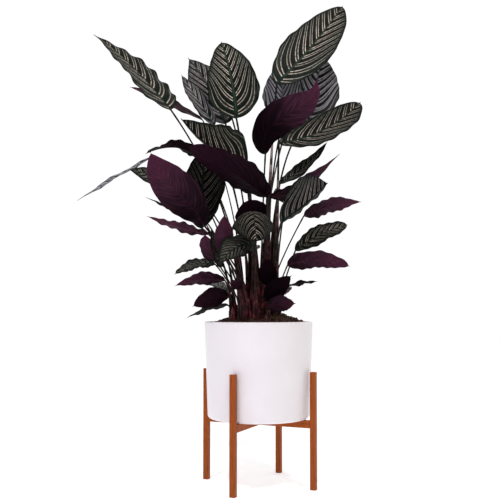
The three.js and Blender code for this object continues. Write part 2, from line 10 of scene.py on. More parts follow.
import bpy
import mathutils
import numpy as np
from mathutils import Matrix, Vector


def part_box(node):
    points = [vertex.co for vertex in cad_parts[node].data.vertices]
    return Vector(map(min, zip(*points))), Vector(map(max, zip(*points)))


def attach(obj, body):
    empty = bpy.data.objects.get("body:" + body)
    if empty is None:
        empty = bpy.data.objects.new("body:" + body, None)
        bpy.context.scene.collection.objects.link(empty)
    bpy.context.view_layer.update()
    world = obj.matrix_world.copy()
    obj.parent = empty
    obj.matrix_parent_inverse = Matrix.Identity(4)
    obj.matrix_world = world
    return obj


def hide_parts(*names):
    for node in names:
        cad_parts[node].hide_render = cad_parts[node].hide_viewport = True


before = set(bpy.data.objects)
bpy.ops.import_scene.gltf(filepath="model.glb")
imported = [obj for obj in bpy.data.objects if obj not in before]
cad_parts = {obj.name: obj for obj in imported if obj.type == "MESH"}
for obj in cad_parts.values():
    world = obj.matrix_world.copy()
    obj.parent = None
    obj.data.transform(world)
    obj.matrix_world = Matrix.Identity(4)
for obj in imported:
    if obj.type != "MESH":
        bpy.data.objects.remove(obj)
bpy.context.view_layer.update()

MM = 0.001
bar_low, bar_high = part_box("stand_bar_front_back")
MIDDLE = np.array([(bar_low.x + bar_high.x) / 2, (bar_low.y + bar_high.y) / 2, 0.0])

# Camera, from the middle of the stand, looking slightly up. Its axis meets the picture 30 of 500 pixels
# below the middle, which the shift gives.
CAMERA_PLACE = (-0.021, -2.068, 0.482)
CAMERA_PITCH = 0.04
CAMERA_LENS_MM = 53.28
CAMERA_SHIFT_Y = 0.06

# Pot, as turned, which stands a little to the right in its stand
POT_OFF_MM = np.array([3.0, 0.0, 0.0])
POT_BOTTOM_MM = 184.0
POT_HEIGHT_MM = 265.0
POT_TOP_MM = POT_BOTTOM_MM + POT_HEIGHT_MM
POT_RIM_RADIUS_MM = 150.0
POT_BASE_RADIUS_MM = 141.0
POT_FOOT_ROUND_MM = 9.0
POT_WALL_MM = 8.0
POT_FLOOR_MM = 12.0
POT_SIDES = 144

# Soil mound
SOIL_EDGE_DROP_MM = 8.0
SOIL_RISE_MM = 31.0
SOIL_DOME_POWER = 1.2
SOIL_LEAN_RIGHT = 0.3
SOIL_LEAN_BACK = 0.6
SOIL_DEPTH_MM = 40.0
SOIL_CLEAR_MM = 0.4
SOIL_LUMPS_MM = ((3.0, 21.0), (1.8, 7.5), (0.9, 3.2))
SOIL_RINGS = 84
SOIL_SIDES = 220
GRANULES = 1500
GRANULE_MARGIN_MM = 5.0

# Leaves: the values that the leaf table is read with. Heights of the relief are for a blade of usual width.
BLADE_THICK_MM = 0.8
USUAL_WIDTH_MM = 140.0
BASE_ROUND = 0.5
SWAY_SCALE = 10.4
BASE_HALF_WIDTH_MM = 2.5
DRIP_TIP_MM = 5.0
DRIP_TIP_HALF_MM = 1.8
WAVES = 2
WAVE_PHASE_RIGHT = 0.6
WAVE_PHASE_LEFT = 2.1
STALK_START_MM = 476.0
STALK_DEPTH_MM = 36.0
TOP_RADIUS_MM = 1.6
TOP_RADIUS_PER_WIDTH = 0.00625

# Where every random draw starts: each leaf's own, and the loose crumbs'
SEED = 4

# What the grown blades add to the plain form: side veins, the swell between them, and the keel below
QUILT_MM = 0.55
OUTLINE_WAVER = 0.018
KEEL_MM = 2.2
KEEL_HALF_MM = 2.6
BAND_BASE_MM = 7.5
BAND_TIP_MM = 2.5
ROW_STEP_MM = 2.6
COLUMN_STEP_MM = 3.4
STALK_STEPS = 30
STALK_SIDES = 12
SHEATH_HALF_MM = 11.0

# Stand and room
STAND_TURN_DEG = -24.0
LEG_HALF_MM = (8.0, 8.0)
BAR_HALF_MM = (10.0, 8.0)
WORN_EDGE_MM = 1.0
EASED_EDGE_MM = 0.7
RING_SPACING_MM = 2.4
ROOM_BEHIND = 1.03
ROOM_IN_FRONT = 0.22
ROOM_OVERHEAD = 0.85

# One row for each leaf, in mm and degrees: seven columns, and last the values that differ from the
# defaults. foot: where the stalk stands in the soil (x, y). base and tip: the two ends of the blade. face:
# where the striped upper side looks. bow: how far the middle of the midrib stands off the straight line.
# width: the blade's, from margin to margin. sway: how far the midrib swings off in the first half and back
# in the second. fold: how far each half rises from flat beside the midrib. curl: how much further it bends
# up to its edge. twist: how far the blade turns about the midrib. wave: height of the waves along the edge.
# widest: where the blade is widest, from its base. taper: how its tip narrows, blunt below 1 and slender
# above. rise: share of the stalk's height that goes straight up. side: the side that shows in front.
LEAF_DEFAULTS = {
    "sway": [0, 0, 0], "fold": 12, "curl": -12, "twist": 0, "wave": 3, "widest": 0.44, "taper": 0.75,
    "rise": 0.5, "side": "striped",
}
LEAF_COLUMNS = ("name", "foot", "base", "tip", "face", "bow", "width")
LEAF_ROWS = [
    ("leaf_01", [-49, 29], [-251, 60, 1062], [-477, 80, 1288], [5, -5.5, 6], [8, 0, 8], 135,
     {"sway": [0, 0, -2], "widest": 0.27, "taper": 1.0}),
    ("leaf_02", [-41, 46], [-161, 110, 1044], [-382, 150, 1155], [3, 3, 9], [0, 0, 8], 45,
     {"side": "purple"}),
    ("leaf_03", [-15, 29], [-93, 95, 1030], [-206, 150, 1242], [0, -8, 4], [13, 10, 0], 142,
     {"widest": 0.48, "taper": 0.95}),
    ("leaf_04", [-24, 12], [-124, 40, 1012], [-219, 60, 1161], [6, -8, 1], [0, 0, 0], 60, {}),
    ("leaf_05", [-7, 12], [-60, 20, 1027], [-104, 60, 1259], [0, -10, 1], [8, -8, 0], 150,
     {"widest": 0.34, "taper": 0.64}),
    ("leaf_06", [-7, -22], [-27, -45, 884], [-205, -85, 995], [3.6, -7, 6], [-8, 0, -22], 174,
     {"fold": 44, "widest": 0.28}),
    ("leaf_07", [19, -39], [25, -85, 785], [-178, -160, 905], [3, 3, 8], [14, 0, -3], 158,
     {"widest": 0.5, "taper": 0.55, "side": "purple"}),
    ("leaf_08", [-41, 12], [-163, 25, 917], [-317, 45, 932], [0, 0, 10], [5, 0, 22], 114,
     {"twist": -60, "widest": 0.6, "taper": 0.45}),
    ("leaf_09", [-75, 12], [-308, 80, 928], [-523, 90, 804], [-3, -4.5, 8], [-2, 0, 0], 42, {}),
    ("leaf_10", [-32, -5], [-170, 15, 812], [-365, 40, 884], [-2, -7, 5], [0, 0, 5], 72, {}),
    ("leaf_11", [-32, -39], [-146, -70, 711], [-285, -110, 897], [2, 8, 2], [-3, -12, -5], 114,
     {"sway": [5, 0, 5], "widest": 0.5, "taper": 0.7, "rise": 0.4, "side": "purple"}),
    ("leaf_12", [-24, -22], [-156, -5, 710], [-160, -10, 932], [5, -9, 1], [2, 0, 0], 126,
     {"sway": [-6, 0, 0], "fold": 22, "widest": 0.55}),
    ("leaf_13", [-49, -5], [-135, -51, 715], [-303, -47, 788], [2, -4, 9], [0, 0, 0], 32, {}),
    ("leaf_14", [-41, -56], [-129, -90, 683], [-287, -140, 725], [1, 5, 8], [0, 0, -4], 41,
     {"taper": 1.0, "rise": 0.4, "side": "purple"}),
    ("leaf_15", [-41, -22], [-107, -60, 617], [-143, -55, 685], [4, 8, 2], [-12, 0, 0], 54,
     {"rise": 0.4, "side": "purple"}),
    ("leaf_16", [-49, -39], [-99, -85, 594], [-124, -115, 695], [8, -6, 0], [0, 0, 0], 45, {"rise": 0.35}),
    ("leaf_17", [-24, -56], [-88, -95, 620], [-89, -130, 728], [-5, 8, 3], [0, 0, 0], 60,
     {"side": "purple"}),
    ("leaf_18", [-15, -39], [-5, -55, 710], [-40, -75, 770], [0, 6, 6], [0, 0, 8], 96, {"side": "purple"}),
    ("leaf_19", [2, -39], [-22, -85, 715], [-5, -225, 655], [0, -4, 9], [0, 0, 50], 148,
     {"fold": 0, "curl": -75, "widest": 0.5, "taper": 0.5}),
    ("leaf_20", [-7, -56], [-5, -100, 649], [-98, -170, 602], [-2, -8, 6], [0, 0, 20], 95, {}),
    ("leaf_21", [-60, 8], [-118, -15, 608], [-226, -25, 582], [-1, -6, 7], [0, 0, 12], 48, {"taper": 0.5}),
    ("leaf_22", [-66, -7], [-90, -35, 562], [-221, -70, 547], [0, 6, 7], [0, 0, 10], 52,
     {"taper": 1.0, "rise": 0.4, "side": "purple"}),
    ("leaf_23", [-66, -39], [-78, -85, 516], [-169, -120, 492], [0, 8, 4], [0, 0, 8], 58,
     {"side": "purple"}),
    ("leaf_24", [-75, -22], [-80, -30, 494], [-192, -20, 461], [0, -3, 9], [0, 0, 5], 45, {}),
    ("leaf_25", [27, 12], [56, 40, 1132], [254, 110, 1386], [-1, -8, 4], [4, 0, -6], 155, {"taper": 0.6}),
    ("leaf_26", [36, 29], [153, 130, 1044], [200, 170, 1258], [1, -8, 3], [0, 0, 0], 150, {"rise": 0.8}),
    ("leaf_27", [10, -22], [21, -60, 907], [156, -110, 1096], [-1, 8, 3], [-9, 0, 9], 96,
     {"sway": [-20, 0, 12], "widest": 0.42, "taper": 1.0, "side": "purple"}),
    ("leaf_28", [53, -5], [61, 10, 953], [293, 30, 1073], [-1, -7, 7], [8, 0, -22], 132,
     {"widest": 0.56, "taper": 0.5}),
    ("leaf_29", [44, 12], [63, 20, 839], [200, 40, 962], [-3, -6, 7], [6, 0, -8], 58,
     {"widest": 0.28, "taper": 0.9}),
    ("leaf_30", [19, -5], [34, -30, 797], [226, -10, 914], [-3, 5, 7], [0, 0, -25], 56,
     {"sway": [0, 0, -4], "widest": 0.38, "taper": 1.25, "side": "purple"}),
    ("leaf_31", [36, -5], [64, -40, 720], [186, -90, 820], [-5.8, -6.2, 5.3], [8, 0, -2], 150,
     {"fold": 38, "widest": 0.66, "taper": 0.4}),
    ("leaf_32", [27, -22], [132, 20, 748], [294, 40, 790], [-1, 6, 6], [0, 0, 8], 57,
     {"wave": 4, "widest": 0.38, "taper": 0.9, "rise": 0.3, "side": "purple"}),
    ("leaf_33", [61, 12], [108, 30, 650], [254, 30, 722], [-2, -7, 5], [0, 0, 10], 66,
     {"widest": 0.44, "taper": 0.45, "rise": 0.3}),
    ("leaf_34", [44, -22], [82, -35, 604], [243, -80, 600], [0, 7, 5], [0, 0, 15], 58,
     {"widest": 0.3, "taper": 0.48, "rise": 0.3, "side": "purple"}),
    ("leaf_35", [61, -22], [89, 10, 548], [165, 20, 561], [0, -4, 9], [0, 0, 2], 30, {}),
    ("leaf_36", [27, -56], [30, -72, 545], [22, -85, 617], [0, 8, 3], [0, 0, 0], 50, {"side": "purple"}),
    ("leaf_37", [19, -73], [25, -112, 486], [94, -145, 498], [0, 8, 3], [0, 0, 5], 48, {"side": "purple"}),
    ("leaf_38", [-32, -72], [-48, -85, 535], [-69, -110, 560], [0, 5, 5], [0, 0, 0], 30,
     {"side": "purple"}),
    ("leaf_39", [27, 46], [80, 100, 1046], [70, 130, 1222], [0, -8, 2], [0, 0, 0], 120,
     {"widest": 0.36, "taper": 0.85, "rise": 0.7}),
    ("leaf_40", [2, -73], [17, -92, 508], [85, -125, 569], [3, 8, 3], [0, 0, 0], 51, {"side": "purple"}),
    ("leaf_41", [-24, 46], [-90, 140, 910], [-150, 320, 960], [0, -1, 9], [0, 0, 25], 130, {}),
    ("leaf_42", [10, 46], [80, 150, 1000], [120, 320, 1075], [0, -1, 9], [0, 0, 30], 130, {}),
    ("leaf_43", [53, 29], [85, 130, 800], [140, 290, 850], [0, 0, 9], [0, 0, 25], 110, {}),
    ("leaf_44", [-66, 29], [-150, 130, 790], [-310, 270, 860], [0, 0, 9], [0, 0, 25], 120, {}),
    ("leaf_45", [-7, 46], [-25, 130, 650], [-60, 280, 660], [0, 0, 9], [0, 0, 20], 100, {}),
    ("leaf_46", [44, 46], [45, 120, 520], [90, 260, 530], [0, 0, 9], [0, 0, 20], 80, {}),
    ("leaf_47", [2, 29], [-75, 150, 1060], [-130, 260, 1180], [0, -5, 8], [0, 0, 10], 110, {}),
    ("leaf_48", [-58, 46], [-80, 70, 530], [-190, 190, 560], [0, 0, 9], [0, 0, 15], 80, {}),
]

# What each leaf adds to its row. pairs: pairs of lines a side. lean and bend: how far its side veins sweep
# tipwards, straight and then curved. band: width of the plain green band along the midrib. ruffle: height
# in mm of the ruffles along the left and the right margin. painted_sheen: painted sheen, a bright film
# between the veins of the upper side. painted_shade: painted shade, how near to black the blade is. faint:
# how much weaker the lines are, and on an under side how far the painted shade fades towards the tip.
# sheath: how far up the stalk its sheath reaches. pale and rosy: how pale the stalk is, and how pink the
# streaks of its sheath.
GROWN_DEFAULTS = {
    "pairs": 9, "lean": 0.9, "bend": 0.55, "ruffle": [1.8, 1.8],
    "painted_sheen": 0.0, "painted_shade": 0.0, "faint": 0.0, "sheath": 0.5, "pale": 0.0, "rosy": 0.25, "band": 1.0,
}
LEAF_FINISH = {
    "leaf_01": {"ruffle": [2.5, 5.0], "faint": 0.15, "band": 0.6},
    "leaf_02": {"ruffle": [1.0, 1.0]},
    "leaf_03": {"painted_sheen": 0.24, "pairs": 7, "lean": 1.7, "faint": 0.15},
    "leaf_04": {"painted_sheen": 0.36, "pairs": 6, "lean": 1.8, "faint": 0.1},
    "leaf_05": {"ruffle": [1.8, 3.0], "lean": 1.1, "band": 0.8},
    "leaf_06": {"faint": 0.25, "painted_shade": 0.15, "rosy": 0.5},
    "leaf_07": {"ruffle": [1.8, 3.0], "painted_shade": 0.8},
    "leaf_08": {"painted_shade": 0.85},
    "leaf_09": {"ruffle": [0.8, 0.8], "painted_sheen": 0.9},
    "leaf_10": {"faint": 0.4},
    "leaf_11": {"ruffle": [3.5, 3.0], "painted_shade": 0.5, "faint": 0.8, "rosy": 0.6},
    "leaf_12": {"painted_shade": 0.6, "faint": 0.35, "rosy": 0.5},
    "leaf_13": {"ruffle": [2.0, 2.0], "painted_shade": 0.8},
    "leaf_14": {"ruffle": [3.0, 3.0]},
    "leaf_16": {"painted_shade": 0.3, "faint": 0.5},
    "leaf_17": {"rosy": 0.9},
    "leaf_18": {"painted_shade": 0.85},
    "leaf_19": {"lean": 0.25, "bend": 1.1, "faint": 0.0, "pairs": 10, "band": 0.25, "painted_shade": 0.6},
    "leaf_20": {"faint": 0.45, "painted_shade": 0.15, "rosy": 1.0},
    "leaf_21": {"faint": 0.3},
    "leaf_23": {"painted_shade": 0.75},
    "leaf_24": {"ruffle": [1.0, 1.0], "painted_shade": 0.6, "faint": 0.8},
    "leaf_25": {"pale": 0.8, "pairs": 10, "lean": 1.1, "sheath": 0.9, "band": 0.6},
    "leaf_26": {"painted_sheen": 0.75, "lean": 0.5, "bend": 0.9, "faint": 0.1},
    "leaf_27": {"ruffle": [8.0, 1.5], "painted_shade": 0.85, "faint": 1.0},
    "leaf_28": {"pale": 0.8, "faint": 0.05, "painted_shade": 0.2, "sheath": 1.0, "band": 0.7},
    "leaf_29": {"ruffle": [1.0, 1.0], "painted_shade": 0.4, "faint": 0.35, "sheath": 0.9},
    "leaf_30": {"painted_shade": 0.3, "sheath": 0.7},
    "leaf_31": {"painted_sheen": 0.15, "faint": 0.0, "painted_shade": 0.4, "sheath": 1.0},
    "leaf_32": {"ruffle": [3.0, 3.0]},
    "leaf_33": {"faint": 0.3, "painted_shade": 0.15},
    "leaf_34": {"ruffle": [2.0, 2.0]},
    "leaf_35": {"ruffle": [0.6, 0.6], "painted_shade": 0.7, "faint": 0.8},
    "leaf_36": {"painted_shade": 0.93},
    "leaf_37": {"painted_shade": 0.5},
    "leaf_38": {"painted_shade": 0.6},
    "leaf_39": {"painted_sheen": 0.85, "pairs": 10, "lean": 1.3},
    "leaf_40": {"painted_shade": 0.93},
    "leaf_42": {"pale": 0.6},
}


def grown(row):
    """A leaf's row as named values, with the defaults filled in and its points as arrays in mm."""
    named = dict(zip(LEAF_COLUMNS, row))
    leaf = {**LEAF_DEFAULTS, **GROWN_DEFAULTS, **LEAF_FINISH.get(named["name"], {}), **named, **row[-1]}
    for key in ("base", "tip", "face", "bow", "sway"):
        leaf[key] = np.array(leaf[key], float)
    leaf["length"] = float(np.linalg.norm(leaf["tip"] - leaf["base"]))
    leaf["size"] = leaf["width"] / USUAL_WIDTH_MM
    return leaf


def linear(hex_colour):
    """sRGB hex to linear RGBA: c / 12.92 up to 0.04045, ((c + 0.055) / 1.055) to the power 2.4 above."""
    parts = [int(hex_colour[i : i + 2], 16) / 255 for i in (1, 3, 5)]
    return (*[c / 12.92 if c <= 0.04045 else ((c + 0.055) / 1.055) ** 2.4 for c in parts], 1.0)


def smooth(low, high, value):
    """Smooth step: 0 below low, 1 above high, 3t^2 - 2t^3 between them."""
    t = np.clip((value - low) / (high - low), 0, 1)
    return t * t * (3 - 2 * t)


def unit(vectors):
    """Vectors divided by their lengths."""
    return vectors / np.maximum(np.linalg.norm(vectors, axis=-1, keepdims=True), 1e-12)


def squared_to(vectors, along):
    """Vectors less their part along a direction, made unit long."""
    return unit(vectors - along * np.sum(vectors * along, axis=-1, keepdims=True))


def grid_faces(rows, columns, wrap=False):
    """Quads between neighbours of a grid of points. With wrap the last column meets the first."""
    r, c = np.meshgrid(np.arange(rows - 1), np.arange(columns if wrap else columns - 1), indexing="ij")
    after = (c + 1) % columns
    row, next_row = r * columns, (r + 1) * columns
    return np.stack([row + c, row + after, next_row + after, next_row + c], -1).reshape(-1, 4)


def closed_rings(rings, first, last):
    """Points and faces of a closed body through rings of points, with a fan to a point at each end."""
    count, sides = rings.shape[0] * rings.shape[1], rings.shape[1]
    turn = np.arange(sides)
    after = (turn + 1) % sides
    first_fan = np.stack([np.full(sides, count), after, turn], -1)
    last_fan = np.stack([np.full(sides, count + 1), count - sides + turn, count - sides + after], -1)
    points = np.concatenate([rings.reshape(-1, 3), [first, last]])
    return points, [grid_faces(rings.shape[0], sides, wrap=True), first_fan, last_fan]


def put_mesh(name, points_mm, faces, materials, attributes=None, material_index=None, flat=False):
    """Makes a piece of points in mm about the middle of the stand, and of faces in several arrays."""
    mesh = bpy.data.meshes.new(name)
    points = np.asarray(points_mm, float) * MM + MIDDLE
    mesh.from_pydata(points, [], [face for group in faces for face in group.tolist()])
    mesh.polygons.foreach_set("use_smooth", np.full(len(mesh.polygons), True) & ~np.asarray(flat, bool))
    if material_index is not None:
        mesh.polygons.foreach_set("material_index", material_index)
    for key, values in (attributes or {}).items():
        values = np.asarray(values, np.float32)
        kind, field = ("FLOAT_VECTOR", "vector") if values.ndim == 2 else ("FLOAT", "value")
        mesh.attributes.new(key, kind, "POINT").data.foreach_set(field, values.ravel())
    for material in materials:
        mesh.materials.append(material)
    mesh.update()
    piece = bpy.data.objects.new(name, mesh)
    bpy.context.scene.collection.objects.link(piece)
    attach(piece, "root")
    return piece


# Leaf shapes


def outline_share(leaf, u):
    """Half-width as a share of its widest: a cosine to the power BASE_ROUND below widest, taper above."""
    below = np.clip(1 - u / leaf["widest"], 0, 1)
    above = np.clip((u - leaf["widest"]) / (1 - leaf["widest"]), 0, 1)
    round_base = np.cos(np.pi / 2 * below) ** BASE_ROUND
    tapered = np.cos(np.pi / 2 * above) ** leaf["taper"]
    return np.where(u < leaf["widest"], round_base, tapered)


def half_width(leaf, u, s, draw):
    """Half-width at rows u, for columns s: the outline share times half the width, times two slow waves
    that differ on the two sides. It is joined to a drip tip that runs out at u_end."""
    u = u[:, None]
    side = np.where(s > 0, 0.0, 0.37)[None, :]
    waver = np.sin(2 * np.pi * (2.7 * u + draw[0] + side))
    waver = waver + 0.8 * np.sin(2 * np.pi * (6.3 * u + draw[1] + side))
    body = leaf["width"] / 2 * outline_share(leaf, u) * (1 + OUTLINE_WAVER * waver)
    u_end = 1 + DRIP_TIP_MM / leaf["length"]
    stem = BASE_HALF_WIDTH_MM + (DRIP_TIP_HALF_MM - BASE_HALF_WIDTH_MM) * smooth(0, 0.5, u)
    least = stem * np.clip((u_end - u) / (u_end - 0.96), 0.12, 1)
    return (body**4 + least**4) ** 0.25


def midrib(leaf, u):
    """Line from base to tip, plus bow times 4u(1-u) and sway times 10.4u(1-u)(1-2u)."""
    u = np.asarray(u, float)[..., None]
    chord = leaf["base"] + (leaf["tip"] - leaf["base"]) * u
    return chord + leaf["bow"] * 4 * u * (1 - u) + leaf["sway"] * SWAY_SCALE * u * (1 - u) * (1 - 2 * u)


def blade_frame(leaf, u):
    """Along the midrib, across the blade and out of its upper side: face squared to the midrib, twisted."""
    u = np.asarray(u, float)[..., None]
    slope = leaf["tip"] - leaf["base"] + leaf["bow"] * 4 * (1 - 2 * u)
    along = unit(slope + leaf["sway"] * SWAY_SCALE * (1 - 6 * u + 6 * u * u))
    up = squared_to(np.broadcast_to(leaf["face"], along.shape), along)
    turn = math.radians(leaf["twist"]) * (u - 0.5)
    up = up * np.cos(turn) + np.cross(along, up) * np.sin(turn)
    return along, np.cross(along, up), up


def vein_number(leaf, u, reach):
    """Number of the side vein through a point, counted from the base: u less its sweep, times the pairs.

    A vein sweeps tipwards by lean times its reach plus bend times its reach squared over the half-width,
    less near the base and more near the tip.
    """
    half = leaf["width"] / 2
    swept = (leaf["lean"] * reach + leaf["bend"] * reach**2 / half) * (0.3 + 0.8 * smooth(0, 0.6, u))
    return leaf["pairs"] * (u - swept / leaf["length"])


def blade_grid(leaf, u, s, draw):
    """Middle surface of a blade at rows u and columns s, with the numbers that its pattern reads.

    Each half leaves the midrib at the fold angle and bends on by the curl angle as a circle's arc. To that
    come the long edge wave, a ruffle near the margin and the quilting, a low cosine between side veins.
    """
    _, across, up = blade_frame(leaf, u)
    fold = math.radians(leaf["fold"])
    curl = math.radians(leaf["curl"]) or 1e-6
    share = np.abs(s)[None, :]
    out = (np.sin(fold + curl * share) - math.sin(fold)) / curl
    lift = (math.cos(fold) - np.cos(fold + curl * share)) / curl
    half = half_width(leaf, u, s, draw)
    rows = u[:, None]
    open_share = outline_share(leaf, np.clip(rows, 0, 1))
    side = (s > 0)[None, :]
    phase = np.where(side, WAVE_PHASE_RIGHT, WAVE_PHASE_LEFT)
    wave = leaf["wave"] * share**2 * open_share * np.sin(2 * np.pi * WAVES * rows + phase)
    beats = np.where(side, 5.3 + draw[2], 6.1 + draw[3])
    ruffle_left, ruffle_right = leaf["ruffle"]
    ruffle_mm = np.where(side, ruffle_right, ruffle_left)
    ruffle = ruffle_mm * share**5 * open_share * np.sin(2 * np.pi * (beats * rows + draw[4]))
    reach = share * half
    vein = vein_number(leaf, rows, reach) + np.where(side, 0.0, 0.5)
    quilt = QUILT_MM * leaf["size"] * np.sin(np.pi * share) ** 0.7 * np.cos(2 * np.pi * vein)
    points = midrib(leaf, u)[:, None, :]
    points = points + across[:, None, :] * (np.sign(s)[None, :] * out * half)[..., None]
    points = points + up[:, None, :] * (half * lift + wave + ruffle + quilt)[..., None]
    return points, reach, half - reach, vein


def blade_shell(leaf, draw):
    """Closed shell of a blade: its middle surface moved out to both sides by half its thickness, which
    thins towards the margin. A keel runs under the midrib, and a groove over it.

    Returns its points, its faces (upper side, under side, rim), and what the pattern reads at each point.
    """
    rows = int(np.clip(leaf["length"] / ROW_STEP_MM, 36, 120))
    columns = int(np.clip(leaf["width"] / 2 / COLUMN_STEP_MM, 7, 21))
    t = np.linspace(0, 1, rows + 1)
    u = (0.65 * t + 0.35 * (1 - np.cos(np.pi * t)) / 2) * (1 + DRIP_TIP_MM / leaf["length"])
    t = np.linspace(-1, 1, 2 * columns + 1)
    s = np.sign(t) * (1.35 * np.abs(t) ** 1.25 - 0.35 * np.abs(t) ** 2.6)
    middle, reach, margin, vein = blade_grid(leaf, u, s, draw)
    normal = unit(np.cross(np.gradient(middle, axis=1), np.gradient(middle, axis=0)))
    thick = BLADE_THICK_MM * (1 - 0.45 * np.abs(s)[None, :] ** 3)
    keel = (KEEL_MM * (1 - 0.85 * u))[:, None] * leaf["size"] * np.exp(-((reach / KEEL_HALF_MM) ** 2))
    groove = 0.25 * keel
    over = middle + normal * (thick / 2 - groove)[..., None]
    under = middle - normal * (thick / 2 + keel)[..., None]
    count = over.shape[0] * over.shape[1]
    numbers = np.arange(count).reshape(over.shape[:2])
    edge = np.concatenate([numbers[0, :-1], numbers[:-1, -1], numbers[-1, :0:-1], numbers[:0:-1, 0]])
    after = np.roll(edge, -1)
    top = grid_faces(*over.shape[:2])
    rim = np.stack([edge, edge + count, after + count, after], -1)
    place = np.stack(np.broadcast_arrays(u[:, None], np.abs(s)[None, :], vein), -1)
    band = leaf["band"] * (BAND_BASE_MM + (BAND_TIP_MM - BAND_BASE_MM) * u) * leaf["size"]
    distance = np.stack(np.broadcast_arrays(reach, margin, band[:, None]), -1)
    points = np.concatenate([over.reshape(-1, 3), under.reshape(-1, 3)])
    faces = [top, top[:, ::-1] + count, rim]
    return points, faces, np.tile(place.reshape(-1, 3), (2, 1)), np.tile(distance.reshape(-1, 3), (2, 1))


def stalk_line(leaf):
    """Points down the middle of a stalk: up out of the soil, along a quadratic Bezier curve to the blade's
    base, and on along the midrib. With them come each point's share of the way, which is below 0 in the
    soil and above 1 under the blade."""
    start = np.array([*leaf["foot"], STALK_START_MM], float)
    knee = start + [0, 0, leaf["rise"] * (leaf["base"][2] - STALK_START_MM)]
    t = np.linspace(0, 1, STALK_STEPS + 1)[:, None]
    arc = (1 - t) ** 2 * start + 2 * t * (1 - t) * knee + t**2 * leaf["base"]
    down = start - np.array([0, 0, STALK_DEPTH_MM]) * np.array([[1.0], [0.5]])
    keel = midrib(leaf, np.array([0.012, 0.03, 0.06, 0.1]))
    share = np.concatenate([[-0.1, -0.05], t[:, 0], [1.01, 1.03, 1.06, 1.1]])
    return np.concatenate([down, arc, keel]), share


def stalk_tube(leaf):
    """Closed tube along the stalk line. Its section is an ellipse with a channel on the inner side.

    The ellipse is wide and flat in the sheath at the foot, round above it, a little thicker in the joint
    just below the blade, and it runs out to a point under the midrib.
    """
    line, share = stalk_line(leaf)
    along = unit(np.gradient(line, axis=0))
    inward = unit(np.array([-leaf["foot"][0], -leaf["foot"][1] + 1.0, 0.0]))
    _, _, leaf_up = blade_frame(leaf, np.array([0.0]))
    blend = smooth(0.2, 0.9, share)[:, None]
    inner = squared_to(inward * (1 - blend) + leaf_up * blend, along)
    side = np.cross(inner, along)
    top = TOP_RADIUS_MM + TOP_RADIUS_PER_WIDTH * leaf["width"]
    sheath = 1 - smooth(0.0, leaf["sheath"], share)
    joint = 1 + 0.22 * np.exp(-(((share - 0.965) / 0.025) ** 2))
    run_out = np.clip((1.1 - share) / 0.1, 0.08, 1) ** 0.6
    spread = 0.55 + leaf["width"] / 300
    wide = (top + (SHEATH_HALF_MM * spread - top) * sheath) * joint * run_out
    deep = (top + (0.62 * SHEATH_HALF_MM * spread - top) * sheath) * joint * run_out
    angle = np.linspace(0, 2 * np.pi, STALK_SIDES, endpoint=False)[None, :]
    channel = 1 - (0.18 + 0.3 * sheath[:, None]) * np.clip(np.sin(angle), 0, 1) ** 4
    ring = side[:, None, :] * (wide[:, None] * np.cos(angle))[..., None]
    ring = ring + inner[:, None, :] * (deep[:, None] * np.sin(angle) * channel)[..., None]
    points, faces = closed_rings(line[:, None, :] + ring, line[0], line[-1])
    way = np.concatenate([[0], np.cumsum(np.linalg.norm(np.diff(line, axis=0), axis=1))])
    place = np.stack(np.broadcast_arrays(share[:, None], angle / (2 * np.pi), way[:, None]), -1)
    ends = [[share[0], 0, 0], [share[-1], 0, way[-1]]]
    return points, faces, np.concatenate([place.reshape(-1, 3), ends])


def make_leaf(row, number, upper_skin, under_skin, stalk_skin):
    """One grown leaf, blade and stalk in one piece, in place of its plain solid."""
    leaf = grown(row)
    draw = np.random.default_rng(SEED + number).random(6)
    blade, (upper, under, rim), blade_place, blade_distance = blade_shell(leaf, draw)
    tube, tube_faces, stalk_place = stalk_tube(leaf)
    tube_faces = [group + len(blade) for group in tube_faces]
    tube_count = sum(len(group) for group in tube_faces)
    on_tube, on_blade = np.zeros((len(tube), 3)), np.zeros((len(blade), 3))
    count = len(blade) + len(tube)
    skin = np.repeat([0, 1, 2], [len(upper), len(under) + len(rim), tube_count])
    piece = put_mesh(
        "calathea_" + leaf["name"],
        np.concatenate([blade, tube]),
        [upper, under, rim, *tube_faces],
        [upper_skin, under_skin, stalk_skin],
        attributes={
            "blade_place": np.concatenate([blade_place, on_tube]),
            "blade_distance": np.concatenate([blade_distance, on_tube]),
            "stalk_place": np.concatenate([on_blade, stalk_place]),
            "leaf_tone": np.tile([leaf["painted_sheen"], leaf["painted_shade"], leaf["faint"]], (count, 1)),
            "stalk_tone": np.tile([leaf["pale"], leaf["rosy"], 0.0], (count, 1)),
            "leaf_draw": np.full(count, draw[5]),
        },
        material_index=skin.astype(np.int32),
    )
    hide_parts(leaf["name"])


# Pot, soil and stand shapes


def turned(profile_mm, sides):
    """Rings of points round an upright axis, one for each (radius, height) point of a profile."""
    angle = np.linspace(0, 2 * np.pi, sides, endpoint=False)[None, :]
    radius, height = np.array(profile_mm, float)[:, :1], np.array(profile_mm, float)[:, 1:]
    return np.stack([radius * np.cos(angle), radius * np.sin(angle), height + 0 * angle], -1)


def pot_radius(height_mm):
    """Outer radius at a height above the pot's bottom: a straight line from base to rim."""
    return POT_BASE_RADIUS_MM + (POT_RIM_RADIUS_MM - POT_BASE_RADIUS_MM) * height_mm / POT_HEIGHT_MM


def arc(middle, radius, start, end, steps):
    """Points on a circle's arc round a middle, from one angle to another in degrees."""
    angle = np.radians(np.linspace(start, end, steps))
    return np.stack([middle[0] + radius * np.cos(angle), middle[1] + radius * np.sin(angle)], -1)


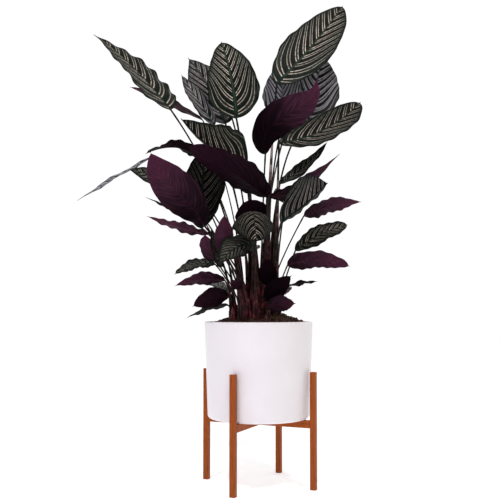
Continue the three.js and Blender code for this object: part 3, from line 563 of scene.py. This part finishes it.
def make_pot(material):
    """The pot turned from its section: rounded foot, slanted wall, round lip, inner wall and floor."""
    foot_middle = (pot_radius(POT_FOOT_ROUND_MM) - POT_FOOT_ROUND_MM, POT_FOOT_ROUND_MM)
    lip = POT_WALL_MM / 2
    wall = np.linspace(POT_FOOT_ROUND_MM, POT_HEIGHT_MM - lip, 24)[1:-1]
    inner = np.linspace(POT_HEIGHT_MM - lip, POT_FLOOR_MM, 12)[1:]
    profile = np.concatenate(
        [
            [[20, 0], [foot_middle[0] * 0.6, 0]],
            arc(foot_middle, POT_FOOT_ROUND_MM, -90, 0, 9),
            np.stack([pot_radius(wall), wall], -1),
            arc((POT_RIM_RADIUS_MM - lip, POT_HEIGHT_MM - lip), lip, 0, 180, 13),
            np.stack([pot_radius(inner) - POT_WALL_MM, inner], -1),
        ]
    )
    rings = turned(profile + [0, POT_BOTTOM_MM], POT_SIDES)
    points, faces = closed_rings(rings, [0, 0, POT_BOTTOM_MM], [0, 0, POT_BOTTOM_MM + POT_FLOOR_MM])
    pot = put_mesh("glazed_pot", points + POT_OFF_MM, faces, [material])
    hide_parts("pot")


def soft_noise(x, y, cell_mm, seed):
    """Value noise from -1 to 1: random heights on a square grid, blended by smooth steps between them."""
    heights = np.random.default_rng(seed).uniform(-1, 1, (64, 64))
    fx, fy = x / cell_mm + 32, y / cell_mm + 32
    ix, iy = np.floor(fx).astype(int), np.floor(fy).astype(int)
    tx, ty = smooth(0, 1, fx - ix), smooth(0, 1, fy - iy)
    left, right, near, far = ix % 64, (ix + 1) % 64, iy % 64, (iy + 1) % 64
    low = heights[left, near] * (1 - tx) + heights[right, near] * tx
    high = heights[left, far] * (1 - tx) + heights[right, far] * tx
    return low * (1 - ty) + high * ty


def soil_height(x, y):
    """Height of the soil: a low dome, 1 less the squared radius to a power, higher to the right and the
    back, with three sizes of lumps on it."""
    reach = POT_RIM_RADIUS_MM - POT_WALL_MM
    radius = np.hypot(x, y)
    dome = np.clip(1 - (radius / reach) ** 2, 0, 1) ** SOIL_DOME_POWER
    inside = 1 - smooth(reach - 14, reach - 3, radius)
    sizes = enumerate(SOIL_LUMPS_MM, 1)
    lumps = sum(height * soft_noise(x, y, across, seed) for seed, (height, across) in sizes)
    rise = SOIL_RISE_MM * dome * (1 + (SOIL_LEAN_RIGHT * x + SOIL_LEAN_BACK * y) / reach)
    return POT_TOP_MM - SOIL_EDGE_DROP_MM + rise + lumps * (0.3 + 0.7 * inside)


def make_soil(material):
    """The soil's lumpy top over a plain plug that fills the pot's mouth."""
    reach = pot_radius(POT_HEIGHT_MM - SOIL_EDGE_DROP_MM) - POT_WALL_MM - SOIL_CLEAR_MM
    radius = reach * np.linspace(1, 0, SOIL_RINGS + 1)[:-1] ** 0.9
    angle = np.linspace(0, 2 * np.pi, SOIL_SIDES, endpoint=False)[None, :]
    x, y = radius[:, None] * np.cos(angle), radius[:, None] * np.sin(angle)
    top = np.stack([x, y, soil_height(x, y)], -1)
    bottom = POT_TOP_MM - SOIL_EDGE_DROP_MM - SOIL_DEPTH_MM
    low_ring = np.stack([x[:1] * 0.985, y[:1] * 0.985, np.full_like(x[:1], bottom)], -1)
    middle = soil_height(np.zeros(1), np.zeros(1))[0]
    points, faces = closed_rings(np.concatenate([low_ring, top]), [0, 0, bottom], [0, 0, middle])
    tone = {"grain_tone": np.full(len(points), 0.3)}
    soil = put_mesh("potting_mix", points + POT_OFF_MM, faces, [material], tone)
    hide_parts("soil")


def crumb_shape():
    """A closed crumb of 26 points: a cube's corners, edge middles and face middles, pushed to a ball."""
    t = np.linspace(-1, 1, 3)
    grid = np.stack(np.meshgrid(t, t, t, indexing="ij"), -1).reshape(-1, 3)
    shell = np.abs(grid).max(1) > 0.5
    number = np.full(27, -1)
    number[shell] = np.arange(shell.sum())
    index = np.arange(27).reshape(3, 3, 3)
    sides = [index[0], index[2].T, index[:, 0].T, index[:, 2], index[:, :, 0], index[:, :, 2].T]
    squares = np.concatenate([number[side].ravel()[grid_faces(3, 3)] for side in sides])
    return unit(grid[shell]), squares


def make_crumbs(material):
    """Bark and peat crumbs on the soil: stretched and turned copies of one crumb, sunk in by a third."""
    draw = np.random.default_rng(SEED)
    shape, squares = crumb_shape()
    reach = pot_radius(POT_HEIGHT_MM - SOIL_EDGE_DROP_MM) - POT_WALL_MM - GRANULE_MARGIN_MM
    radius = reach * draw.random(GRANULES) ** 0.5
    angle = draw.uniform(0, 2 * np.pi, GRANULES)
    x, y = radius * np.cos(angle), radius * np.sin(angle)
    size = 1.1 + 2.6 * draw.random((GRANULES, 1)) ** 2.2
    stretch = size * draw.uniform([0.8, 0.5, 0.35], [1.7, 1.0, 0.7], (GRANULES, 3))
    rough = 1 + 0.22 * draw.uniform(-1, 1, (GRANULES, len(shape)))
    local = shape[None] * stretch[:, None, :] * rough[..., None]
    axes = np.linalg.qr(draw.normal(size=(GRANULES, 3, 3)))[0]
    axes[np.linalg.det(axes) < 0] *= -1
    local = np.einsum("nij,npj->npi", axes, local)
    centre = np.stack([x, y, soil_height(x, y) + 0.3 * size[:, 0]], -1)
    points = (centre[:, None, :] + local).reshape(-1, 3)
    faces = (squares[None] + (np.arange(GRANULES) * len(shape))[:, None, None]).reshape(-1, 4)
    tone = {"grain_tone": np.repeat(draw.random(GRANULES), len(shape))}
    crumbs = put_mesh("bark_crumbs", points + POT_OFF_MM, [faces], [material], tone, flat=True)


def dress_stand(name, material):
    """A leg or bar keeps its solid. Its loose faces are welded and its edges eased by hand-plane width."""
    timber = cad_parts[name]
    timber.data.materials.clear()
    timber.data.materials.append(material)
    weld = timber.modifiers.new("weld", "WELD")
    weld.merge_threshold = 0.00002
    ease = timber.modifiers.new("ease", "BEVEL")
    ease.width = EASED_EDGE_MM * MM
    ease.segments = 3
    ease.limit_method = "ANGLE"
    ease.angle_limit = math.radians(25)
    ease.harden_normals = True


# Materials

USUAL_SETTINGS = {
    "Mix": {"data_type": "RGBA"},
    "MapRange": {"interpolation_type": "SMOOTHSTEP"},
    "Math": {"operation": "MULTIPLY"},
    "VectorMath": {"operation": "MULTIPLY"},
}


def add(tree, kind, feeds=(), **settings):
    """Adds a shader node with its settings, and feeds its inputs with values, nodes or output sockets.

    Feeds are a list for the open inputs in order, where None passes one by, or a dict by their names.
    Settings that aren't given are those of USUAL_SETTINGS.
    """
    made = tree.nodes.new("ShaderNode" + kind)
    for name, value in {**USUAL_SETTINGS.get(kind, {}), **settings}.items():
        setattr(made, name, value)
    open_inputs = [socket for socket in made.inputs if socket.enabled]
    for key, value in feeds.items() if isinstance(feeds, dict) else enumerate(feeds):
        socket = made.inputs[key] if isinstance(key, str) else open_inputs[key]
        if isinstance(value, bpy.types.Node):
            value = next(output for output in value.outputs if output.enabled)
        if isinstance(value, bpy.types.NodeSocket):
            tree.links.new(value, socket)
        elif value is not None:
            socket.default_value = linear(value) if isinstance(value, str) else value
    return made


def new_surface(name):
    """A new material, the function that adds nodes to it, and an Object-coordinate socket for patterns."""
    material = bpy.data.materials.new(name)
    material.use_nodes = True
    material.node_tree.nodes.clear()
    node = functools.partial(add, material.node_tree)
    return material, node, node("TexCoord").outputs["Object"]


def give_shader(node, colour, roughness, bump, **constants):
    """Ends a material: colour, roughness and bump come from nodes, the shader's constants from values."""
    feeds = {"Base Color": colour, "Roughness": roughness, "Normal": bump}
    names = {name.replace("_", " "): value for name, value in constants.items()}
    shader = node("BsdfPrincipled", {**feeds, **names})
    node("OutputMaterial", {"Surface": shader.outputs["BSDF"]})


def stripe_nodes(node, position):
    """Nodes that both skins of a blade share: place on the leaf, clouds, grain and mask of paired lines.

    The side veins are numbered, and each number's half-way place holds a pair of lines. A line lies where
    the distance to half-way is near the spread. Outwards the spread widens and the line thins.
    """
    place = node("Attribute", attribute_name="blade_place")
    along, across, vein = node("SeparateXYZ", [place.outputs["Vector"]]).outputs
    distance = node("Attribute", attribute_name="blade_distance")
    reach, margin, band = node("SeparateXYZ", [distance.outputs["Vector"]]).outputs
    tone = node("Attribute", attribute_name="leaf_tone")
    painted_sheen, painted_shade, faint = node("SeparateXYZ", [tone.outputs["Vector"]]).outputs
    draw = node("Attribute", attribute_name="leaf_draw").outputs["Fac"]
    # Tone clouds 32 mm across. The skin's cells, under 0.1 mm, are drawn as a grain of 4.5 mm to show.
    cloud = node("TexNoise", {"Vector": position, "Scale": 1 / 0.032, "Detail": 3.0})
    grain = node("TexNoise", {"Vector": position, "Scale": 1 / 0.0045, "Detail": 2.0})
    step = node("Math", [vein], operation="FRACT")
    off = node("Math", [step, 0.5], operation="SUBTRACT")
    off = node("Math", [off], operation="ABSOLUTE")
    off = node("Math", [grain, 0.07, off], operation="MULTIPLY_ADD")
    off = node("Math", [off, 0.035], operation="SUBTRACT")
    spread = node("Math", [across, 0.07, 0.15], operation="MULTIPLY_ADD")
    gap = node("Math", [off, spread], operation="SUBTRACT")
    gap = node("Math", [gap], operation="ABSOLUTE")
    half = node("Math", [across, -0.025, 0.06], operation="MULTIPLY_ADD")
    gap = node("Math", [gap, half], operation="DIVIDE")
    line = node("MapRange", [gap, 1.3, 0.6])
    start = node("Math", [reach, band], operation="DIVIDE")
    start = node("MapRange", [start, 0.85, 1.25])
    stop = node("MapRange", [margin, 2.0, 13.0])
    open_field = node("Math", [start, stop])
    # Lines break off and fade over patches of 9 mm, and each pair has a strength of its own
    worn = node("TexNoise", {"Vector": position, "Scale": 1 / 0.009, "Detail": 1.0})
    worn = node("MapRange", [worn, 0.3, 0.5, 0.35, 1.0])
    line = node("Math", [line, worn])
    number = node("Math", [vein], operation="FLOOR")
    chance = node("CombineXYZ", [number, draw, 0.0])
    chance = node("TexWhiteNoise", [chance])
    chance = node("MapRange", [chance, 0.0, 1.0, 0.5, 1.0], interpolation_type="LINEAR")
    line = node("Math", [line, chance])
    line = node("Math", [line, open_field])
    strength = node("Math", [1.0, faint], operation="SUBTRACT")
    line = node("Math", [line, strength])
    streak = node("CombineXYZ", [vein, across, draw])
    streak = node("VectorMath", [streak, (5.0, 1.6, 70.0)])
    streak = node("TexNoise", {"Vector": streak, "Scale": 1.0, "Detail": 2.0})
    inner = node("Math", [off, spread], operation="SUBTRACT")
    inner = node("MapRange", [inner, 0.02, -0.06])
    inner = node("Math", [inner, open_field])
    return {
        "along": along, "across": across, "vein": vein, "reach": reach, "margin": margin,
        "cloud": cloud, "grain": grain, "line": line, "inner": inner, "start": start,
        "painted_sheen": painted_sheen, "painted_shade": painted_shade, "faint": faint, "draw": draw, "streak": streak, "off": off,
    }


def waxy_upper_skin():
    """Upper side of a pinstripe leaf: a wax film over dark green cells, which gives broad soft highlights.

    Pairs of lines follow the side veins, rosy cream at the midrib and grey-green towards the margin.
    """
    material, node, position = new_surface("waxy_leaf_upper")
    leaf = stripe_nodes(node, position)
    colour = node("Mix", [leaf["cloud"], "#030504", "#080e0a"])
    shade = node("Math", [leaf["draw"], 0.5])
    colour = node("Mix", [shade, colour, "#0c120a"])
    base_light = node("MapRange", [leaf["along"], 0.5, 0.0, 0.0, 0.25])
    colour = node("Mix", [base_light, colour, "#1e2a20"])
    ribs = node("Math", [leaf["vein"], 6 * math.pi])
    ribs = node("Math", [ribs], operation="SINE")
    rib_light = node("MapRange", [ribs, 0.0, 0.95])
    outer = node("MapRange", [leaf["across"], 0.2, 0.9, 0.02, 0.13])
    rib_light = node("Math", [rib_light, outer])
    colour = node("Mix", [rib_light, colour, "#565d50"])
    # Between the lines of a pair: rusty near the midrib, the blade's own colour, and grey-olive towards the
    # margin, which is painted sheen
    between = node("Mix", [leaf["across"], "#2a1511", "#3c3f35"])
    inner = node("Math", [leaf["inner"], 0.48])
    colour = node("Mix", [inner, colour, between])
    middle = node("Math", [1.0, leaf["start"]], operation="SUBTRACT")
    fresh = node("MapRange", [leaf["along"], 0.1, 0.7, 0.85, 0.35])
    middle = node("Math", [middle, fresh])
    colour = node("Mix", [middle, colour, "#132c22"])
    thread = node("MapRange", [leaf["reach"], 1.6, 0.5, 0.0, 0.55])
    colour = node("Mix", [thread, colour, "#46543f"])
    rim = node("MapRange", [leaf["margin"], 3.0, 1.0, 0.0, 0.7])
    colour = node("Mix", [rim, colour, "#090d0a"])
    # Painted sheen: a bright grey film between the lines of sheen leaves
    film = node("MapRange", [leaf["streak"], 0.38, 0.62, 0.05, 1.0])
    stripe = node("MapRange", [leaf["off"], 0.43, 0.2, 0.05, 1.0])
    film = node("Math", [film, stripe])
    film = node("Math", [film, leaf["painted_sheen"]])
    colour = node("Mix", [film, colour, "#a2a1a9"])
    fade = node("Math", [leaf["across"], 0.55], operation="POWER")
    ink = node("Mix", [fade, "#f8e6d4", "#979b8a"])
    # Painted sheen also greys the lines
    ink = node("Mix", [leaf["painted_sheen"], ink, "#bcb6bd"])
    colour = node("Mix", [leaf["line"], colour, ink])
    # Painted shade: the whole blade taken towards black
    colour = node("Mix", [leaf["painted_shade"], colour, "#080406"])
    roughness = node("MapRange", [leaf["grain"], 0.3, 0.7, 0.36, 0.5], interpolation_type="LINEAR")
    height = node("Math", [ribs, 0.6, leaf["grain"]], operation="MULTIPLY_ADD")
    bump = node("Bump", {"Height": height, "Strength": 0.4, "Distance": 0.0005})
    shine = node("Math", [leaf["painted_shade"], -0.06, 0.06], operation="MULTIPLY_ADD")
    give_shader(node, colour, roughness, bump, Specular_IOR_Level=shine, IOR=1.45)
    return material


def velvet_under_skin():
    """Under side of the leaf: wine-red cells under short fine hair, which look dull and faintly velvety."""
    material, node, position = new_surface("velvet_leaf_under")
    leaf = stripe_nodes(node, position)
    colour = node("Mix", [leaf["cloud"], "#24121c", "#3c1f2f"])
    dark = node("Math", [leaf["draw"], 0.4])
    colour = node("Mix", [dark, colour, "#14080d"])
    # Painted light: the blade lighter towards its tip, where it catches the light
    bright = node("MapRange", [leaf["along"], 0.45, 1.0, 0.0, 0.6])
    colour = node("Mix", [bright, colour, "#4a2138"])
    shadow = node("MapRange", [leaf["along"], 0.6, 0.1, 0.0, 0.75])
    colour = node("Mix", [shadow, colour, "#0d0609"])
    light = node("MapRange", [leaf["streak"], 0.48, 0.7, 0.0, 0.28])
    colour = node("Mix", [light, colour, "#6c3c54"])
    # Painted light: the lines of the upper side lit faintly through the blade
    through = node("Math", [leaf["line"], 0.08])
    colour = node("Mix", [through, colour, "#74404f"])
    keel = node("MapRange", [leaf["reach"], 3.5, 1.2, 0.0, 0.35])
    colour = node("Mix", [keel, colour, "#481c28"])
    # Painted shade, taken back towards the tip by the faint share
    fading = node("MapRange", [leaf["along"], 0.25, 0.75, 0.0, 1.0])
    fading = node("Math", [fading, leaf["faint"]])
    fading = node("Math", [1.0, fading], operation="SUBTRACT")
    painted_shade = node("Math", [leaf["painted_shade"], fading])
    colour = node("Mix", [painted_shade, colour, "#060305"])
    roughness = node("MapRange", [leaf["grain"], 0.3, 0.7, 0.46, 0.62], interpolation_type="LINEAR")
    ribs = node("Math", [leaf["vein"], 6 * math.pi])
    ribs = node("Math", [ribs], operation="SINE")
    height = node("Math", [ribs, 0.5, leaf["streak"]], operation="MULTIPLY_ADD")
    bump = node("Bump", {"Height": height, "Strength": 0.4, "Distance": 0.0005})
    shine = node("Math", [painted_shade, -0.06, 0.06], operation="MULTIPLY_ADD")
    hair = {"Sheen_Weight": 0.03, "Sheen_Roughness": 0.4, "Sheen_Tint": linear("#c08aa0")}
    give_shader(node, colour, roughness, bump, Specular_IOR_Level=shine, IOR=1.42, **hair)
    return material


def fibrous_stalk_skin():
    """Leaf stalk: long fibres under a thin glossy skin, maroon with rosy streaks below, greener above."""
    material, node, position = new_surface("fibrous_stalk")
    place = node("Attribute", attribute_name="stalk_place")
    share, angle, way = node("SeparateXYZ", [place.outputs["Vector"]]).outputs
    tone = node("Attribute", attribute_name="stalk_tone")
    pale, pink, _ = node("SeparateXYZ", [tone.outputs["Vector"]]).outputs
    draw = node("Attribute", attribute_name="leaf_draw").outputs["Fac"]
    # Fibres run the stalk's length, 16 to a turn and 40 mm long, in place of real ones of 0.1 mm that
    # wouldn't show. Patches of painted shade, 20 mm across, darken the stalks.
    fibre = node("CombineXYZ", [angle, way, draw])
    fibre = node("VectorMath", [fibre, (16.0, 0.025, 30.0)])
    fibre = node("TexNoise", {"Vector": fibre, "Scale": 1.0, "Detail": 3.0})
    painted_shade_patch = node("TexNoise", {"Vector": position, "Scale": 1 / 0.02, "Detail": 2.0})
    which = node("Math", [draw, 7.0])
    which = node("Math", [which], operation="FRACT")
    colour = node("Mix", [which, "#16060a", "#641c1e"])
    middle = node("MapRange", [share, 0.08, 0.45])
    colour = node("Mix", [middle, colour, "#230f11"])
    brown = node("Math", [pale, 0.7])
    colour = node("Mix", [brown, colour, "#6e4243"])
    top = node("MapRange", [share, 0.5, 0.95])
    colour = node("Mix", [top, colour, "#1b201a"])
    olive = node("MapRange", [draw, 0.62, 0.8, 0.0, 0.22])
    colour = node("Mix", [olive, colour, "#3c3a22"])
    upper = node("MapRange", [share, 0.5, 0.64])
    under = node("MapRange", [share, 0.85, 0.78])
    upper = node("Math", [upper, under])
    upper = node("Math", [upper, pale])
    colour = node("Mix", [upper, colour, "#a89690"])
    rosy = node("MapRange", [fibre, 0.48, 0.58])
    foot = node("MapRange", [share, 0.5, 0.1, 0.1, 1.0])
    rosy = node("Math", [rosy, foot])
    rosy = node("Math", [rosy, pink])
    colour = node("Mix", [rosy, colour, "#b05a68"])
    # Painted shade: patches of near black on the stalks
    painted_shade = node("MapRange", [painted_shade_patch, 0.6, 0.44, 0.0, 0.85])
    colour = node("Mix", [painted_shade, colour, "#0c0405"])
    roughness = node("MapRange", [fibre, 0.3, 0.7, 0.38, 0.55], interpolation_type="LINEAR")
    bump = node("Bump", {"Height": fibre, "Strength": 0.5, "Distance": 0.0006})
    give_shader(node, colour, roughness, bump, Specular_IOR_Level=0.12, IOR=1.45)
    return material


def satin_white_glaze():
    """Cast stoneware under a satin white glaze: even and bright, with a soft highlight and faint peel."""
    material, node, position = new_surface("satin_white_glaze")
    # The glaze pools over 90 mm, and its peel is 3.5 mm, drawn three times coarser than it is to show
    cloud = node("TexNoise", {"Vector": position, "Scale": 1 / 0.09, "Detail": 3.0})
    colour = node("Mix", [cloud, "#dfdbdd", "#ebe7e9"])
    peel = node("TexNoise", {"Vector": position, "Scale": 1 / 0.0035, "Detail": 1.0})
    roughness = node("MapRange", [cloud, 0.3, 0.7, 0.32, 0.42], interpolation_type="LINEAR")
    bump = node("Bump", {"Height": peel, "Strength": 0.15, "Distance": 0.0001})
    give_shader(node, colour, roughness, bump, Specular_IOR_Level=0.5, IOR=1.5)
    return material


def loose_potting_mix():
    """Damp peat and bark: matt, crumbly, from near black to reddish brown by crumb."""
    material, node, position = new_surface("loose_potting_mix")
    # Each crumb has its own tone, and the grain in and between them is 3 mm
    tone = node("Attribute", attribute_name="grain_tone").outputs["Fac"]
    crumb = node("TexNoise", {"Vector": position, "Scale": 1 / 0.003, "Detail": 3.0, "Roughness": 0.7})
    colour = node("Mix", [tone, "#100a07", "#5e3b29"])
    fleck = node("MapRange", [crumb, 0.5, 0.7])
    colour = node("Mix", [fleck, colour, "#6e493a"])
    pit = node("MapRange", [crumb, 0.48, 0.36])
    colour = node("Mix", [pit, colour, "#060403"])
    roughness = node("MapRange", [crumb, 0.3, 0.7, 0.85, 1.0], interpolation_type="LINEAR")
    bump = node("Bump", {"Height": crumb, "Strength": 0.9, "Distance": 0.0012})
    give_shader(node, colour, roughness, bump, Specular_IOR_Level=0.25)
    return material


def oiled_hardwood(name, timber, turn, half_sides):
    """Sawn hardwood rubbed with an orange-brown oil: satin, long grain, dark pores, lighter edges.

    Turning into the timber's own frame puts its length on Z. Growth rings are circles about a heart that
    lies off the timber, bent by slow noise along it. Pores are noise stretched 60 times along the grain.
    """
    material, node, position = new_surface(name)
    low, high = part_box(timber)
    middle = [(a + b) / 2 for a, b in zip(low, high)]
    local = node("Mapping", [position, middle, turn, (MM, MM, MM)], vector_type="TEXTURE")
    x, y, _ = node("SeparateXYZ", [local]).outputs
    # In millimetres: rings bend over 50 mm across and 170 along, fibres are 0.6 by 33, and pores 0.9 by 55,
    # a few times wider than real ones so that they show
    drift = node("VectorMath", [local, (0.02, 0.02, 0.006)])
    drift = node("TexNoise", {"Vector": drift, "Scale": 1.0, "Detail": 2.0})
    ring_x = node("Math", [x, 26.0], operation="ADD")
    ring_y = node("Math", [y, 14.0], operation="ADD")
    ring = node("CombineXYZ", [ring_x, ring_y, 0.0])
    ring = node("VectorMath", [ring], operation="LENGTH")
    ring = node("Math", [drift, 14.0, ring.outputs["Value"]], operation="MULTIPLY_ADD")
    ring = node("Math", [ring, 1 / RING_SPACING_MM])
    ring = node("Math", [ring], operation="FRACT")
    late = node("MapRange", [ring, 0.35, 0.95])
    fibre = node("VectorMath", [local, (1.6, 1.6, 0.03)])
    fibre = node("TexNoise", {"Vector": fibre, "Scale": 1.0, "Detail": 3.0})
    pore = node("VectorMath", [local, (1.1, 1.1, 0.018)])
    pore = node("TexNoise", {"Vector": pore, "Scale": 1.0, "Detail": 1.0})
    pore = node("MapRange", [pore, 0.64, 0.72])
    colour = node("Mix", [late, "#a85213", "#86400d"])
    streak = node("MapRange", [fibre, 0.35, 0.65, 0.0, 0.5])
    colour = node("Mix", [streak, colour, "#722f08"])
    colour = node("Mix", [pore, colour, "#42200e"])
    side_x = node("Math", [x], operation="ABSOLUTE")
    side_y = node("Math", [y], operation="ABSOLUTE")
    worn_x = node("MapRange", [side_x, half_sides[0] - WORN_EDGE_MM, half_sides[0]])
    worn_y = node("MapRange", [side_y, half_sides[1] - WORN_EDGE_MM, half_sides[1]])
    worn = node("Math", [worn_x, worn_y])
    worn = node("Math", [worn, 0.5])
    colour = node("Mix", [worn, colour, "#cc8142"])
    roughness = node("MapRange", [fibre, 0.3, 0.7, 0.42, 0.56], interpolation_type="LINEAR")
    height = node("Math", [fibre, pore], operation="SUBTRACT")
    bump = node("Bump", {"Height": height, "Strength": 0.35, "Distance": 0.0004})
    give_shader(node, colour, roughness, bump, Specular_IOR_Level=0.2, IOR=1.48)
    return material


def paper_floor():
    """Matt white backdrop paper: no shine, so it takes only soft shadows."""
    material, node, position = new_surface("backdrop_paper")
    # The paper's tooth, 0.2 mm on a real sheet, is drawn at 4 mm to show
    tooth = node("TexNoise", {"Vector": position, "Scale": 1 / 0.004, "Detail": 2.0})
    colour = node("Mix", [tooth, "#f7f7f6", "#fbfbfa"])
    roughness = node("MapRange", [tooth, 0.0, 1.0, 0.9, 1.0], interpolation_type="LINEAR")
    bump = node("Bump", {"Height": tooth, "Strength": 0.05, "Distance": 0.0002})
    glow = {"Emission_Color": linear("#ffffff"), "Emission_Strength": 0.34}
    give_shader(node, colour, roughness, bump, Specular_IOR_Level=0.1, **glow)
    return material


# The plant

upper_skin = waxy_upper_skin()
under_skin = velvet_under_skin()
stalk_skin = fibrous_stalk_skin()
for number, row in enumerate(LEAF_ROWS):
    make_leaf(row, number, upper_skin, under_skin, stalk_skin)

# Pot and soil

make_pot(satin_white_glaze())
potting_mix = loose_potting_mix()
make_soil(potting_mix)
make_crumbs(potting_mix)

# Stand: the legs' grain runs up, and each bar's along it

for leg in ("stand_leg_right", "stand_leg_back", "stand_leg_left", "stand_leg_front"):
    upright = (0.0, 0.0, math.radians(STAND_TURN_DEG))
    dress_stand(leg, oiled_hardwood("oiled_wood_" + leg, leg, upright, LEG_HALF_MM))
for bar, turn in (("stand_bar_across", STAND_TURN_DEG), ("stand_bar_front_back", STAND_TURN_DEG + 90)):
    lying = (0.0, math.radians(90), math.radians(turn))
    dress_stand(bar, oiled_hardwood("oiled_wood_" + bar, bar, lying, BAR_HALF_MM))

# Studio: a wide paper floor, a white room that is darker towards the camera, a large soft light in front
# and two small ones high up, whose shadows run back from the feet in a V

paper = turned([(12000, 0), (6000, 0), (3000, 0), (1500, 0), (700, 0), (300, 0)], 96)
points, faces = closed_rings(paper, [0, 0, -1], [0, 0, 0])
floor = put_mesh("paper_floor", points, [faces[0], faces[2]], [paper_floor()])

room = bpy.data.worlds.new("white_room")
room.use_nodes = True
room.node_tree.nodes.clear()
node = functools.partial(add, room.node_tree)
sight = node("SeparateXYZ", [node("TexCoord").outputs["Generated"]])
behind = node("MapRange", [sight.outputs["Y"], -0.1, 0.6])
glow = node("MapRange", [behind, 0.0, 1.0, ROOM_IN_FRONT, ROOM_BEHIND], interpolation_type="LINEAR")
above = node("MapRange", [sight.outputs["Z"], 0.45, 0.9, 0.0, ROOM_OVERHEAD], interpolation_type="LINEAR")
glow = node("Math", [glow, above], operation="MAXIMUM")
glow = node("Background", {"Color": "#ffffff", "Strength": glow})
node("OutputWorld", {"Surface": glow.outputs["Background"]})
bpy.context.scene.world = room
bpy.context.scene.view_settings.view_transform = "Standard"


def soft_light(name, size_m, power_w, colour, place, target):
    """A square area light at a place, from the middle of the stand's foot, that looks at a target."""
    light = bpy.data.lights.new(name, "AREA")
    light.shape = "SQUARE"
    light.size = size_m
    light.energy = power_w
    light.color = linear(colour)[:3]
    lamp = bpy.data.objects.new(name, light)
    bpy.context.scene.collection.objects.link(lamp)
    lamp.location = MIDDLE + np.array(place)
    towards = mathutils.Vector(target) - mathutils.Vector(place)
    lamp.rotation_euler = towards.to_track_quat("-Z", "Y").to_euler()


soft_light("front_light", 3.0, 20.0, "#f0e8ff", (-1.3, -3.1, 1.3), (0, 0, 0.5))
soft_light("high_light_right", 0.35, 42.0, "#fff6ec", (1.0, -1.9, 4.0), (0, 0, 0.4))
soft_light("high_light_left", 0.35, 50.0, "#f2eeff", (-1.0, -1.9, 4.0), (0, 0, 0.4))

# Camera

lens = bpy.data.cameras.new("camera")
lens.lens = CAMERA_LENS_MM
lens.sensor_width = 36.0
lens.shift_y = CAMERA_SHIFT_Y
lens.clip_end = 60.0
camera = bpy.data.objects.new("camera", lens)
camera.location = MIDDLE + np.array(CAMERA_PLACE)
camera.rotation_euler = (math.pi / 2 + CAMERA_PITCH, 0.0, 0.0)
bpy.context.scene.collection.objects.link(camera)
bpy.context.scene.camera = camera

bpy.context.view_layer.update()
